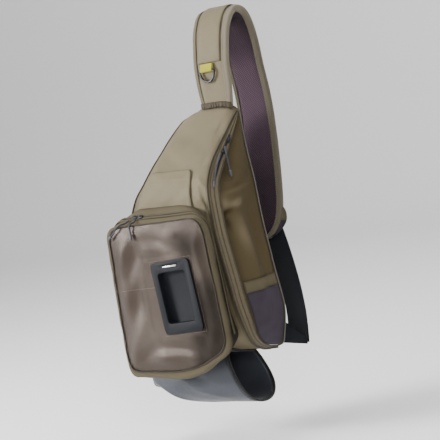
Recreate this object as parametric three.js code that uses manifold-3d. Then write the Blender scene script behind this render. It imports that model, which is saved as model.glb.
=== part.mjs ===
// Fishing tackle sling bag: a wedge-shaped cloth body with a wide zipped front pocket, a padded
// shoulder strap looped over the top and down behind, and an open bottle sleeve under the bottom.
// Millimetres. Tables are laid out from the middle of the strap's foot on the back panel's rear
// plane: x to the wearer-side right, y backwards, z up. The whole bag hangs in one group, moved so
// that the underside of the strap's highest point, where it sits on a shoulder, is the origin.
import * as THREE from "three";
import { mergeVertices } from "three/addons/utils/BufferGeometryUtils.js";
import Module from "manifold-3d";

const wasm = await Module();
wasm.setup();

// Clearance kept between neighbouring pieces, and the running clearance round the ring's bar
const GAP = 0.4;
const RING_PLAY = 0.5;

// How far a cutting body reaches past a face
const OVERCUT = 1;

// Body: height, greatest width and depth, cloth wall, padded back
const BODY_HIGH = 427;
const BODY_WIDE = 237;
const BODY_DEEP = 131;
const BODY_CLOTH = 2.4;
const BACK_PAD = 10;
const FRONT_CROWN = 12;
const SIDE_SWELL = 7;
const LEFT_FLARE = 4;

// Strip that carries the main zip, between the front panel and the right side panel
const ZIP_STRIP_DEEP = 21;
const ZIP_STRIP_WIDE = 8.5;
const ZIP_COIL_WIDE = 7;
const ZIP_COIL_THICK = 1.6;
const ZIP_COIL_TOP = 0.1 * BODY_HIGH;
const ZIP_COIL_FOOT = 0.47 * BODY_HIGH;
const ZIP_COIL_LINE = 0.55;

// Cords sewn into the seams
const PIPING_RADIUS = 1.2;
const BACK_PIPING_RADIUS = 2;

// Flat pocket behind the zipped pocket, and the trim on the right side panel
const SLIP_CLOTH = 1.4;
const SLIP_CORNER = 11;
const SLIP_LIFT = 2.5 * GAP;
const SLIP_TOP = 0.225 * BODY_HIGH;
const SLIP_FOOT = 0.75 * BODY_HIGH;
const SLIP_LEFT_SHARE = 0.06;
const SLIP_RIGHT_X = -2;
const TRIM_LIFT = 2 * GAP;
const TRIM_MARGIN = 4;
const PATCH_THICK = 2;
const PATCH_HIGH = 104;
const HEM_THICK = 3;
const HEM_HIGH = 20;
const HEM_DOWN = 0.69 * BODY_HIGH;

// Zipped pocket: rim width and height, depth to its rim, walls, crown of its face
const POCKET_WIDE = 230;
const POCKET_HIGH = 272;
const POCKET_DEEP = 40;
const POCKET_CLOTH = 2.4;
const POCKET_CROWN = 4.5;
const POCKET_X = -62;
const POCKET_Z = -306;
const POCKET_ROLL = 10;
const POCKET_SWELL = 1.5;
const POCKET_ZIP_WIDE = 9;
const POCKET_ZIP_THICK = 1.2;
const POCKET_ZIP_LINE = 0.68;
const POCKET_ZIP_CORNERS = 11;

// Moulded tray on the pocket's face
const DOCK_WIDE = 84;
const DOCK_HIGH = 124;
const DOCK_CORNER = 9;
const DOCK_FLANGE = 3.2;
const DOCK_WALL = 2.6;
const DOCK_DEEP = 16;
const RECESS_WIDE = 60;
const RECESS_HIGH = 88;
const RECESS_CORNER = 7;
const DOCK_X = -33;
const DOCK_Z = -298;
const DOCK_TURN = THREE.MathUtils.degToRad(-4);
const DOCK_PIN_LONG = 30;
const DOCK_PIN_RADIUS = 1.8;
const DOCK_SLOT_PLAY = 1;
const DOCK_SLOT_CORNER = 2;

// Shoulder strap: rise and fall of its middle surface, reach behind, width, pad and edge binding
const STRAP_HIGH = 164;
const STRAP_FALL = 240;
const STRAP_BACK = 80;
const STRAP_WIDE = 80;
const STRAP_THICK = 11;
const COVER_THICK = 3;
const COVER_SWELL = 0.8;
const PAD_SWELL = 1.6;
const BINDING_WIDE = 10;
const BINDING_THICK = 1.2;
const BINDING_SLACK = 0.8;
const BINDING_CORNER = 2;
const BINDING_INNER_CORNER = 1;
const OVERLAY_WIDE = 50;
const OVERLAY_THICK = 1.4;
const OVERLAY_FOOT = 78;
const OVERLAY_END = 109;
const FRILL_WIDE = 0.52;
const FRILL_FOOT = 9;
const FRILL_HIGH = 5;
const FRILL_THICK = 1.2;
const FRILL_RISE = 2.4;
const FRILL_FOLDS = 7;
const FLAP_TOP = 0.8;
const FLAP_ASIDE = 4;
const FLAP_WIDE = 1;
const FLAP_BOW = 9;
const FLAP_THICK = 3;
const FLAP_BEHIND = 3;
const FLAP_TURN = 4;

// Ring on the strap and the webbing tab that holds its straight bar
const RING_WIDE = 35;
const RING_HIGH = 21;
const RING_WIRE = 2;
const TAB_WIDE = 25;
const TAB_THICK = 1.4;
const RING_X = -3;
const RING_DROP = 11;
const RING_SHOULDER = 3;
const RING_STEP = 2;

// Webbing from the strap's end to the bag's lower corner
const WEBBING_WIDE = 50;
const WEBBING_THICK = 2;
const WEBBING_FOOT = 424;

// Bottle sleeve: half height and half depth of its tube, wall, and the slant of its mouth
const SLEEVE_TALL = 43;
const SLEEVE_DEEP = 46;
const SLEEVE_CLOTH = 2.2;
const SLEEVE_LONG = 205;
const SLEEVE_MOUTH_X = 6;
const SLEEVE_MOUTH_SLANT = 0.46;
const SLEEVE_Y = -64;
const SLEEVE_Z = -465;
const SLEEVE_BAND = 7;
const BAND_SWELL = 0.5;
const BAND_CORNER = 1.5;
const BAND_ROUND = 0.3;

// Zip sliders and their pull cords
const SLIDER_LONG = 11;
const SLIDER_WIDE = 8;
const SLIDER_HIGH = 3.6;
const PULL_CORD_RADIUS = 1.5;
const PULL_TIP_RADIUS = 2.8;
const PULL_TIP_LONG = 11;
// Half widths of a slider along its length, and radii of a tip along its length, as shares
const SLIDER_PLAN = [
  { along: -0.5, half: 0.3 },
  { along: 0, half: 0.5 },
  { along: 0.5, half: 0.38 },
];
const SLIDER_BASE = 0.55;
const BRIDGE_LONG = 0.6;
const BRIDGE_WIDE = 0.3;
const TIP_PROFILE = [
  { along: 0, round: 0.62 },
  { along: 0.2, round: 1 },
  { along: 0.75, round: 0.85 },
  { along: 1, round: 0.5 },
];

// Places of the sliders: shares of the body's height, and corners of the pocket's outline
const MAIN_SEATS = { upper: 0.118, lower: 0.153 };
const POCKET_SEATS = { right: 3.78, left: 3.5 };

// Stations of the body from its back top edge, over the front and round the bottom.
// down: share of height; deep: share of depth; left, right: front seams, and back: right rear edge,
// shares of width; crown: share of the front crown; band: share of the zip strip's width.
const BODY = [
  { down: 0.021, deep: 0.082, left: 0.253, right: 0.16, back: 0.148, crown: 1.0, band: 0.1 },
  { down: 0.026, deep: 0.125, left: 0.287, right: 0.16, back: 0.148, crown: 1.0, band: 0.12 },
  { down: 0.038, deep: 0.19, left: 0.333, right: 0.156, back: 0.148, crown: 1.0, band: 0.3 },
  { down: 0.091, deep: 0.366, left: 0.386, right: 0.139, back: 0.15, crown: 0.9, band: 0.6 },
  { down: 0.148, deep: 0.58, left: 0.409, right: 0.131, back: 0.156, crown: 0.8, band: 0.85 },
  { down: 0.199, deep: 0.771, left: 0.43, right: 0.131, back: 0.165, crown: 0.6, band: 1.0 },
  { down: 0.258, deep: 0.924, left: 0.468, right: 0.135, back: 0.175, crown: 0.38, band: 1.0 },
  { down: 0.311, deep: 0.99, left: 0.532, right: 0.139, back: 0.179, crown: 0.2, band: 1.0 },
  { down: 0.386, deep: 1.0, left: 0.603, right: 0.139, back: 0.182, crown: 0.1, band: 1.0 },
  { down: 0.487, deep: 0.992, left: 0.68, right: 0.143, back: 0.19, crown: 0.1, band: 1.0 },
  { down: 0.574, deep: 0.969, left: 0.726, right: 0.152, back: 0.205, crown: 0.1, band: 1.0 },
  { down: 0.679, deep: 0.947, left: 0.747, right: 0.169, back: 0.221, crown: 0.1, band: 1.0 },
  { down: 0.761, deep: 0.94, left: 0.747, right: 0.184, back: 0.241, crown: 0.1, band: 1.0 },
  { down: 0.843, deep: 0.893, left: 0.743, right: 0.196, back: 0.252, crown: 0.1, band: 0.95 },
  { down: 0.927, deep: 0.748, left: 0.722, right: 0.184, back: 0.232, crown: 0.05, band: 0.75 },
  { down: 0.977, deep: 0.48, left: 0.684, right: 0.165, back: 0.203, crown: 0.0, band: 0.4 },
  { down: 0.998, deep: 0.125, left: 0.641, right: 0.146, back: 0.186, crown: 0.0, band: 0.12 },
  { down: 1.0, deep: 0.082, left: 0.633, right: 0.143, back: 0.186, crown: 0.0, band: 0.1 },
];
const SIDE_START = 1 / (BODY.length - 1);
const SIDE_END = 1 - SIDE_START;

// Soft dents and folds of the right side panel. fall: share of the body's height; across: share of
// the panel from its front edge to its back; long, wide: spread as the same shares; rise: millimetres.
const SIDE_FOLDS = [
  { fall: 0.49, across: 0.28, lean: 0.5, long: 0.05, wide: 0.16, rise: 3.2 },
  { fall: 0.53, across: 0.2, lean: 0.5, long: 0.03, wide: 0.14, rise: -3.4 },
  { fall: 0.56, across: 0.5, lean: 0.1, long: 0.11, wide: 0.1, rise: 2.2 },
  { fall: 0.36, across: 0.5, lean: 0.3, long: 0.07, wide: 0.24, rise: -1.8 },
];

// Corners of the pocket, each as shares of the pocket's width and height from its middle, with a
// corner radius as a share of its width: where it meets the body (b), at its rim (r), and round its
// face (f).
const POCKET = [
  // top left
  {
    bx: -0.287, bz: 0.581, br: 0.07,
    rx: -0.497, rz: 0.494, rr: 0.11,
    fx: -0.448, fz: 0.489, fr: 0.13,
  },
  // top right
  {
    bx: 0.4, bz: 0.574, br: 0.27,
    rx: 0.465, rz: 0.5, rr: 0.14,
    fx: 0.439, fz: 0.504, fr: 0.13,
  },
  // low right
  {
    bx: 0.42, bz: -0.316, br: 0.13,
    rx: 0.513, rz: -0.331, rr: 0.12,
    fx: 0.483, fz: -0.316, fr: 0.12,
  },
  // bottom
  {
    bx: 0.09, bz: -0.338, br: 0.17,
    rx: 0.117, rz: -0.515, rr: 0.22,
    fx: 0.117, fz: -0.452, fr: 0.22,
  },
  // low left
  {
    bx: -0.448, bz: -0.316, br: 0.1,
    rx: -0.505, rz: -0.478, rr: 0.08,
    fx: -0.474, fz: -0.441, fr: 0.11,
  },
  // left
  {
    bx: -0.439, bz: 0.169, br: 0.26,
    rx: -0.511, rz: -0.088, rr: 0.26,
    fx: -0.474, fz: -0.088, fr: 0.26,
  },
];

// Soft waves of the pocket's face, across its width and height. turn: direction in degrees
const FACE_WAVES = [
  { turn: 35, long: 62, rise: 0.9, phase: 0.4 },
  { turn: 118, long: 88, rise: 0.8, phase: 2.1 },
];

// Stations of the strap's middle surface, from its foot over the shoulder to its tip.
// up: share of the rise; fall: share of the drop; back: share of the reach behind;
// side, wide: shares of the strap's width.
const STRAP = [
  { up: 0.035, fall: 0, back: -0.24, side: 0.0, wide: 0.8 },
  { up: 0.21, fall: 0, back: -0.24, side: 0.01, wide: 0.9 },
  { up: 0.43, fall: 0, back: -0.23, side: 0.015, wide: 0.93 },
  { up: 0.64, fall: 0, back: -0.175, side: 0.04, wide: 0.95 },
  { up: 0.825, fall: 0, back: -0.075, side: 0.065, wide: 0.97 },
  { up: 0.957, fall: 0, back: 0.1, side: 0.09, wide: 1.0 },
  { up: 1.0, fall: 0, back: 0.33, side: 0.1, wide: 1.0 },
  { up: 0.945, fall: 0, back: 0.575, side: 0.1, wide: 1.0 },
  { up: 0.805, fall: 0, back: 0.76, side: 0.075, wide: 1.0 },
  { up: 0.61, fall: 0, back: 0.89, side: 0.04, wide: 1.0 },
  { up: 0.366, fall: 0, back: 0.965, side: 0.015, wide: 1.0 },
  { up: 0.12, fall: 0, back: 1.0, side: 0.035, wide: 1.0 },
  { up: 0, fall: 0.085, back: 0.99, side: 0.056, wide: 1.0 },
  { up: 0, fall: 0.27, back: 0.93, side: 0.08, wide: 1.0 },
  { up: 0, fall: 0.46, back: 0.825, side: 0.115, wide: 1.0 },
  { up: 0, fall: 0.625, back: 0.7, side: 0.16, wide: 0.99 },
  { up: 0, fall: 0.77, back: 0.56, side: 0.21, wide: 0.96 },
  { up: 0, fall: 0.885, back: 0.44, side: 0.24, wide: 0.85 },
  { up: 0, fall: 0.965, back: 0.355, side: 0.24, wide: 0.58 },
  { up: 0, fall: 1.0, back: 0.32, side: 0.235, wide: 0.265 },
];
const STRAP_SPAN = STRAP.length - 1;

// Stations of the webbing. down: share of the drop to its foot; back: share of the strap's reach;
// side: share of the webbing's width.
const WEBBING = [
  { down: 0.525, back: 0.55, side: 0.42 },
  { down: 0.6, back: 0.475, side: 0.62 },
  { down: 0.68, back: 0.41, side: 0.82 },
  { down: 0.77, back: 0.34, side: 1.0 },
  { down: 0.87, back: 0.215, side: 1.18 },
  { down: 0.95, back: 0.1, side: 1.27 },
  { down: 1.0, back: 0.03, side: 1.3 },
];

// Stations of the sleeve from its closed end to its mouth. along: share of length; low, high: share
// of half height below and above its axis; deep: share of half depth.
const SLEEVE = [
  { along: 0.0, low: -0.02, high: 0.6, deep: 0.5 },
  { along: 0.04, low: 0.32, high: 0.76, deep: 0.72 },
  { along: 0.12, low: 0.38, high: 0.9, deep: 0.86 },
  { along: 0.21, low: 0.72, high: 1.0, deep: 0.96 },
  { along: 0.3, low: 0.93, high: 1.0, deep: 1.0 },
  { along: 0.42, low: 1.0, high: 1.0, deep: 1.0 },
  { along: 0.6, low: 1.0, high: 1.0, deep: 1.0 },
  { along: 0.8, low: 1.0, high: 1.0, deep: 1.0 },
  { along: 1.0, low: 1.0, high: 1.0, deep: 1.0 },
];

// Pull cords from slider to tip, chosen by hand on the surfaces they lie over
const PULLS = {
  main_upper: [
    [41, -72, -65],
    [43.6, -75.4, -74.5],
    [45.4, -77.4, -84.5],
    [47, -79, -95],
    [48, -79.6, -105],
  ],
  main_lower: [
    [41, -88, -75],
    [40.3, -95.6, -85],
    [39.4, -103.5, -96.5],
    [40, -110.5, -107.5],
    [40.6, -116.5, -118],
  ],
  pocket_right: [
    [-111, -157.6, -163.2],
    [-111, -163.5, -166.8],
    [-111, -171.5, -167.8],
    [-111, -177, -172.6],
    [-110.6, -177.2, -179],
    [-110, -178.2, -184.5],
  ],
  pocket_left: [
    [-126, -157.6, -163.4],
    [-130, -164, -167],
    [-135, -171.5, -168.2],
    [-141, -177.4, -172.8],
    [-147, -178, -179.5],
    [-153, -178.6, -184.5],
  ],
};

// Finishes
const finish = (colour, roughness, metalness = 0) =>
  new THREE.MeshStandardMaterial({ color: colour, roughness, metalness });
const OLIVE = 0x8f8870;
const OLIVE_SIDE = 0x6d634d;
const TAUPE = 0x6d6058;
const PIPING_BROWN = 0x2b241c;
const PLUM = 0x4a3a4c;
const CHARCOAL = 0x2c2e33;
const SLATE = 0x565a63;
const BLACK = 0x17191d;
const GREY_CORD = 0x6f6f7c;
const GUNMETAL = 0x5c5b60;
const TAB_YELLOW = 0xb9b548;
const STEEL = 0xa9aab0;

const V = (x, y, z) => new THREE.Vector3(x, y, z);
const mix = THREE.MathUtils.lerp;
const clamp = THREE.MathUtils.clamp;
const steps = (count) => Array.from({ length: count + 1 }, (_, i) => i / count);

// Smooth value of one column at a share of the table's length
function column(table, key) {
  const last = table.length - 1;
  const pick = (row) => table[clamp(row, 0, last)][key];
  return (share) => {
    const at = clamp(share, 0, 1) * last;
    const row = Math.min(Math.floor(at), last - 1);
    const t = at - row;
    const [a, b, c, d] = [pick(row - 1), pick(row), pick(row + 1), pick(row + 2)];
    const curl = 2 * a - 5 * b + 4 * c - d;
    return b + 0.5 * t * (c - a + t * (curl + t * (3 * (b - c) + d - a)));
  };
}

// Share at which a falling or rising function reaches a wanted value, by halving
function solve(value, wanted, low = 0, high = 1) {
  const rising = value(high) > value(low);
  for (let i = 0; i < 40; i++) {
    const middle = (low + high) / 2;
    if (value(middle) < wanted === rising) low = middle;
    else high = middle;
  }
  return (low + high) / 2;
}

// Closed body from vertices and faces, turned to face outwards
function bodyOf(points, faces) {
  const corners = faces.flatMap((face) => (face.length === 4
    ? [face[0], face[1], face[2], face[0], face[2], face[3]]
    : face));
  let volume = 0;
  for (let i = 0; i < corners.length; i += 3) {
    const [a, b, c] = [points[corners[i]], points[corners[i + 1]], points[corners[i + 2]]];
    volume += a.dot(b.clone().cross(c));
  }
  const index = volume < 0 ? corners.reverse() : corners;
  const geometry = new THREE.BufferGeometry().setFromPoints(points);
  geometry.setIndex(index);
  geometry.computeVertexNormals();
  return geometry;
}

// Quads between ring after ring of equal count. looped: the last ring joins the first
function joinRings(rings, looped) {
  const count = rings[0].length;
  const faces = [];
  const spans = looped ? rings.length : rings.length - 1;
  for (let r = 0; r < spans; r++) {
    const next = ((r + 1) % rings.length) * count;
    for (let i = 0; i < count; i++) {
      const j = (i + 1) % count;
      faces.push([r * count + i, r * count + j, next + j, next + i]);
    }
  }
  return faces;
}

// Hoop-like body: rings that close on each other
function hoop(rings) {
  return bodyOf(rings.flat(), joinRings(rings, true));
}

// Vessel or rod: rings with a fan over each end
function capped(rings) {
  const count = rings[0].length;
  const points = rings.flat();
  const faces = joinRings(rings, false);
  for (const [ring, first] of [[rings[0], 0], [rings.at(-1), (rings.length - 1) * count]]) {
    const hub = ring.reduce((sum, p) => sum.add(p), V(0, 0, 0)).divideScalar(count);
    const centre = points.push(hub) - 1;
    for (let i = 0; i < count; i++) {
      const [a, b] = [first + i, first + ((i + 1) % count)];
      faces.push(first === 0 ? [centre, b, a] : [centre, a, b]);
    }
  }
  return bodyOf(points, faces);
}

// Cloth panel: rows along it, each with points on its outer and inner face
function panel(rows) {
  const across = rows[0].outer.length;
  const rings = rows.map((row) => [...row.outer, ...row.inner.slice().reverse()]);
  const faces = joinRings(rings, false);
  const last = (rings.length - 1) * across * 2;
  const far = across * 2 - 1;
  for (let i = 0; i < across - 1; i++) {
    faces.push([far - i, far - i - 1, i + 1, i]);
    faces.push([last + i, last + i + 1, last + far - i - 1, last + far - i]);
  }
  return bodyOf(rings.flat(), faces);
}

// Panel over a surface. at(u, t, lift) gives a point, lift being the distance outwards
function sheet(at, across, alongs, low, high) {
  return panel(alongs.map((t) => ({
    outer: across.map((u) => at(u, t, high)),
    inner: across.map((u) => at(u, t, low)),
  })));
}

// Round cord along points, with flat ends or closed on itself. spans: sections between two points
function cord(points, radius, sides, closed = false, spans = 1) {
  const path = new THREE.CatmullRomCurve3(points, closed, "centripetal");
  const shares = closed ? steps(points.length).slice(0, -1) : steps((points.length - 1) * spans);
  const rings = shares.map((share) => {
    const centre = path.getPoint(share);
    const tangent = path.getTangent(share);
    const side = V(tangent.z, 0, -tangent.x);
    if (side.length() < 0.1) side.set(0, tangent.z, -tangent.y);
    side.normalize();
    const up = tangent.clone().cross(side);
    return Array.from({ length: sides }, (_, i) => {
      const turn = (2 * Math.PI * i) / sides;
      return centre.clone()
        .addScaledVector(side, radius * Math.cos(turn))
        .addScaledVector(up, radius * Math.sin(turn));
    });
  });
  return closed ? hoop(rings) : capped(rings);
}

// Body stations
const body = Object.fromEntries(Object.keys(BODY[0]).map((key) => [key, column(BODY, key)]));
const pathY = (t) => -BODY_DEEP * body.deep(t);
const pathZ = (t) => -BODY_HIGH * body.down(t);
const leftX = (t) => -BODY_WIDE * body.left(t);
const rightX = (t) => BODY_WIDE * body.right(t);

// Direction straight out of the front at a station, in y and z
function outwards(t) {
  const step = 0.004;
  const dy = pathY(t + step) - pathY(t - step);
  const dz = pathZ(t + step) - pathZ(t - step);
  const long = Math.hypot(dy, dz);
  return { y: dz / long, z: -dy / long };
}

// Front surface: flat in the middle, falling off towards both seams
function frontAt(u, t, lift) {
  const swell = FRONT_CROWN * body.crown(t) * (1 - (2 * u - 1) ** 4) + lift;
  const out = outwards(t);
  return V(mix(leftX(t), rightX(t), u), pathY(t) + out.y * swell, pathZ(t) + out.z * swell);
}

// Point in a station's section: side is millimetres past the right seam, into inwards from it
function besideFront(t, side, into) {
  const out = outwards(t);
  return V(rightX(t) + side, pathY(t) - out.y * into, pathZ(t) - out.z * into);
}

// Zip strip: outer line from the front seam to the side panel
function stripAt(u, t, lift) {
  const band = body.band(t);
  const long = Math.hypot(ZIP_STRIP_WIDE, ZIP_STRIP_DEEP);
  const side = GAP + (ZIP_STRIP_WIDE - GAP) * band * u;
  const into = ZIP_STRIP_DEEP * band * u;
  return besideFront(
    t,
    side + (lift * ZIP_STRIP_DEEP) / long,
    into - (lift * ZIP_STRIP_WIDE) / long,
  );
}

// Dents and folds of the side panel
function sideFold(u, t) {
  return SIDE_FOLDS.reduce((sum, fold) => {
    const down = (body.down(t) - fold.fall) / fold.long;
    const away = (u - fold.across - fold.lean * (body.down(t) - fold.fall)) / fold.wide;
    return sum + fold.rise * Math.exp(-down * down - away * away);
  }, 0);
}

// Right side panel, straight back from the zip strip to the back panel
function rightSideAt(u, t, lift) {
  const band = body.band(t);
  const front = besideFront(t, ZIP_STRIP_WIDE * band, ZIP_STRIP_DEEP * band + 3 * GAP);
  const fade = Math.min(1, 5 * (t - SIDE_START)) * Math.min(1, 5 * (SIDE_END - t));
  const swell = Math.sin(Math.PI * u) * SIDE_SWELL * fade + sideFold(u, t);
  const x = mix(front.x, BODY_WIDE * body.back(t), u) + swell;
  return V(x + lift, mix(front.y, -BACK_PAD - GAP, u), front.z);
}

// Left side panel
function leftSideAt(u, t, lift) {
  const out = outwards(t);
  const into = BODY_CLOTH + 2 * GAP;
  const front = V(leftX(t), pathY(t) - out.y * into, pathZ(t) - out.z * into);
  const swell = Math.sin(Math.PI * u) * SIDE_SWELL * 0.5;
  return V(front.x - LEFT_FLARE * u - swell - lift, mix(front.y, -BACK_PAD - GAP, u), front.z);
}

// Y of the front surface in front of a point of the body's middle and lower part
function frontY(x, z) {
  const t = solve(pathZ, z, 3 * SIDE_START, 1 - 3 * SIDE_START);
  const u = clamp((x - leftX(t)) / (rightX(t) - leftX(t)), 0, 1);
  return frontAt(u, t, 0).y;
}

const SIDE_STEPS = steps(25).map((share) => mix(SIDE_START, SIDE_END, share));

function frontPanel() {
  const across = [0, 0.04, 0.13, 0.3, 0.5, 0.7, 0.87, 0.96, 1];
  return sheet(frontAt, across, [0, ...SIDE_STEPS, 1], -BODY_CLOTH, 0);
}

function zipStrip() {
  return panel(SIDE_STEPS.map((t) => {
    const band = body.band(t);
    const [wide, deep] = [ZIP_STRIP_WIDE * band, ZIP_STRIP_DEEP * band];
    return {
      outer: [besideFront(t, GAP, 0), besideFront(t, wide, deep)],
      inner: [
        besideFront(t, GAP, BODY_CLOTH + GAP),
        besideFront(t, wide - BODY_CLOTH + GAP, deep + 2 * GAP),
      ],
    };
  }));
}

function zipCoil() {
  const half = ZIP_COIL_WIDE / 2 / Math.hypot(ZIP_STRIP_WIDE, ZIP_STRIP_DEEP);
  const from = solve(pathZ, -ZIP_COIL_TOP, SIDE_START, 0.6);
  const to = solve(pathZ, -ZIP_COIL_FOOT, SIDE_START, 0.7);
  const across = [ZIP_COIL_LINE - half, ZIP_COIL_LINE + half];
  const alongs = steps(20).map((s) => mix(from, to, s));
  return sheet(stripAt, across, alongs, GAP, GAP + ZIP_COIL_THICK);
}

const SIDE_ACROSS = [0, 0.14, 0.28, 0.42, 0.58, 0.8, 1];

function rightSide() {
  return sheet(rightSideAt, SIDE_ACROSS, SIDE_STEPS, -BODY_CLOTH, 0);
}

function leftSide() {
  return sheet(leftSideAt, steps(3), SIDE_STEPS, -BODY_CLOTH, 0);
}

// Outline of the back panel: over the top, down the right edge, along the bottom, up the left
function backOutline() {
  const top = steps(10).map((u) => frontAt(u, 0, 0)).map((p) => new THREE.Vector2(p.x, p.z));
  const right = SIDE_STEPS.map((t) => rightSideAt(1, t, 0)).map((p) => new THREE.Vector2(p.x, p.z));
  const foot = steps(4).map((u) => frontAt(1 - u, 1, 0)).map((p) => new THREE.Vector2(p.x, p.z));
  const left = SIDE_STEPS.map((t) => leftSideAt(1, t, 0)).map((p) => new THREE.Vector2(p.x, p.z));
  return [...top, ...right.slice(1), ...foot, ...left.reverse().slice(0, -1)];
}

function backPanel() {
  const geometry = new THREE.ExtrudeGeometry(new THREE.Shape(backOutline()), {
    depth: BACK_PAD,
    bevelEnabled: false,
  });
  geometry.rotateX(Math.PI / 2);
  return geometry;
}

// Cord in the seam all round the back panel's front edge
function backPiping() {
  const outline = backOutline();
  const count = outline.length;
  const away = BACK_PIPING_RADIUS + 2 * GAP;
  const points = outline.map((p, i) => {
    const along = outline[(i + 1) % count].clone().sub(outline[(i + count - 1) % count]).normalize();
    return V(p.x - along.y * away, -BACK_PAD, p.y + along.x * away);
  });
  return cord(points, BACK_PIPING_RADIUS, 4, true);
}

// Dark cord along a front seam. edge: 0 for the left seam, 1 for the right
function frontPiping(edge) {
  const aside = edge === 0 ? -GAP / 2 : GAP / 2;
  const points = SIDE_STEPS.map((t) => {
    const p = frontAt(edge, t, PIPING_RADIUS + 2 * GAP);
    return V(p.x + aside, p.y, p.z);
  });
  return cord(points, PIPING_RADIUS, 5);
}

// Flat slip pocket sewn over the middle of the front
function slipPanel() {
  const top = solve(pathZ, -SLIP_TOP, 2 * SIDE_START, 0.6);
  const foot = solve(pathZ, -SLIP_FOOT, 0.5, 1 - 2 * SIDE_START);
  const alongs = [0, 0.008, 0.02, 0.045, 0.08, ...steps(9).map((s) => mix(0.14, 1, s))];
  return panel(alongs.map((share) => {
    const t = mix(top, foot, share);
    const fallen = Math.min(pathZ(top) - pathZ(t), SLIP_CORNER);
    const nip = SLIP_CORNER - Math.sqrt(SLIP_CORNER ** 2 - (SLIP_CORNER - fallen) ** 2);
    const wide = rightX(t) - leftX(t);
    const right = (SLIP_RIGHT_X - nip - leftX(t)) / wide;
    const us = steps(6).map((u) => mix(SLIP_LEFT_SHARE, right, u));
    return {
      outer: us.map((u) => frontAt(u, t, SLIP_LIFT + SLIP_CLOTH)),
      inner: us.map((u) => frontAt(u, t, SLIP_LIFT)),
    };
  }));
}

// Panel of trim on the right side, between two heights of its front edge
function sideTrim(from, to, thick) {
  const frontEdgeZ = (t) => rightSideAt(0, t, 0).z;
  const start = solve(frontEdgeZ, from, 0.4, SIDE_END);
  const end = solve(frontEdgeZ, to, 0.4, SIDE_END);
  const rows = [start, ...SIDE_STEPS.filter((t) => t > start && t < end), end];
  const across = [0.02, ...SIDE_ACROSS.slice(1)];
  const short = (u, t, lift) => {
    const deep = -BACK_PAD - rightSideAt(0, t, 0).y;
    return rightSideAt(Math.min(u, 1 - TRIM_MARGIN / deep), t, lift);
  };
  return sheet(short, across, rows, TRIM_LIFT, TRIM_LIFT + thick);
}

const PATCH_DOWN = HEM_DOWN + HEM_HIGH + GAP;
const hem = () => sideTrim(-HEM_DOWN, -HEM_DOWN - HEM_HIGH, HEM_THICK);
const patch = () => sideTrim(-PATCH_DOWN, -PATCH_DOWN - PATCH_HIGH, PATCH_THICK);

// Pocket outlines: rounded loops of equal count through the table's corners
function roundedLoop(corners, arc = 3, side = 3) {
  const count = corners.length;
  const ends = corners.map((corner, i) => {
    const towards = (other) => {
      const way = other.point.clone().sub(corner.point);
      const reach = Math.min(corner.radius, way.length() * 0.46);
      return corner.point.clone().add(way.setLength(reach));
    };
    return [towards(corners[(i + count - 1) % count]), towards(corners[(i + 1) % count])];
  });
  return corners.flatMap((corner, i) => {
    const bend = new THREE.QuadraticBezierCurve(ends[i][0], corner.point, ends[i][1]);
    const next = ends[(i + 1) % count][0];
    const straight = steps(side).slice(1, -1).map((s) => ends[i][1].clone().lerp(next, s));
    return [...bend.getPoints(arc), ...straight];
  });
}

function pocketLoop(kind) {
  return roundedLoop(POCKET.map((corner) => ({
    point: new THREE.Vector2(
      POCKET_X + POCKET_WIDE * corner[kind + "x"],
      POCKET_Z + POCKET_HIGH * corner[kind + "z"],
    ),
    radius: POCKET_WIDE * corner[kind + "r"],
  })));
}

// Loop moved inwards by a distance. The loops run clockwise seen from the front
function inset(loop, distance) {
  const count = loop.length;
  return loop.map((p, i) => {
    const along = loop[(i + 1) % count].clone().sub(loop[(i + count - 1) % count]).normalize();
    return new THREE.Vector2(p.x + along.y * distance, p.y - along.x * distance);
  });
}

const backLoop = pocketLoop("b");
const rimLoop = pocketLoop("r");
const faceLoop = pocketLoop("f");
const POCKET_FRONT = -BODY_DEEP - POCKET_DEEP;
const blend = (a, b, share) => a.map((p, i) => p.clone().lerp(b[i], share));
const ringAt = (loop, y) => loop.map((p, i) => V(p.x, typeof y === "number" ? y : y(p, i), p.y));

// Y of the pocket's seam on the body, and part of the way from there to the rim
const seamY = (i) => frontY(backLoop[i].x, backLoop[i].y) - SLIP_LIFT - SLIP_CLOTH - 2 * GAP;
const towardsRim = (share) => (_, i) => mix(seamY(i), POCKET_FRONT + POCKET_ROLL, share);

// Side wall of the pocket, rolled over its rim to the face's seam
function pocketGusset() {
  const wall = POCKET_CLOTH;
  const middle = blend(backLoop, rimLoop, 0.5);
  const lip = inset(faceLoop, -GAP);
  const roll = (share) => POCKET_FRONT + share * POCKET_ROLL;
  return hoop([
    ringAt(backLoop, towardsRim(0)),
    ringAt(inset(middle, -POCKET_SWELL), towardsRim(0.5)),
    ringAt(rimLoop, roll(1)),
    ringAt(blend(rimLoop, lip, 0.08), roll(0.4)),
    ringAt(blend(rimLoop, lip, 0.35), roll(0.1)),
    ringAt(lip, POCKET_FRONT + GAP),
    ringAt(lip, POCKET_FRONT + GAP + wall),
    ringAt(inset(rimLoop, wall), roll(0.5)),
    ringAt(inset(rimLoop, wall), roll(1)),
    ringAt(inset(middle, wall - POCKET_SWELL), towardsRim(0.5)),
    ringAt(inset(backLoop, wall), towardsRim(0)),
  ]);
}

// Point of the dock's own frame, turned with it, in the bag's x and z
function onDock(x, z) {
  const p = new THREE.Vector2(x, z).rotateAround(new THREE.Vector2(0, 0), -DOCK_TURN);
  return new THREE.Vector2(DOCK_X + p.x, DOCK_Z + p.y);
}

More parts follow.
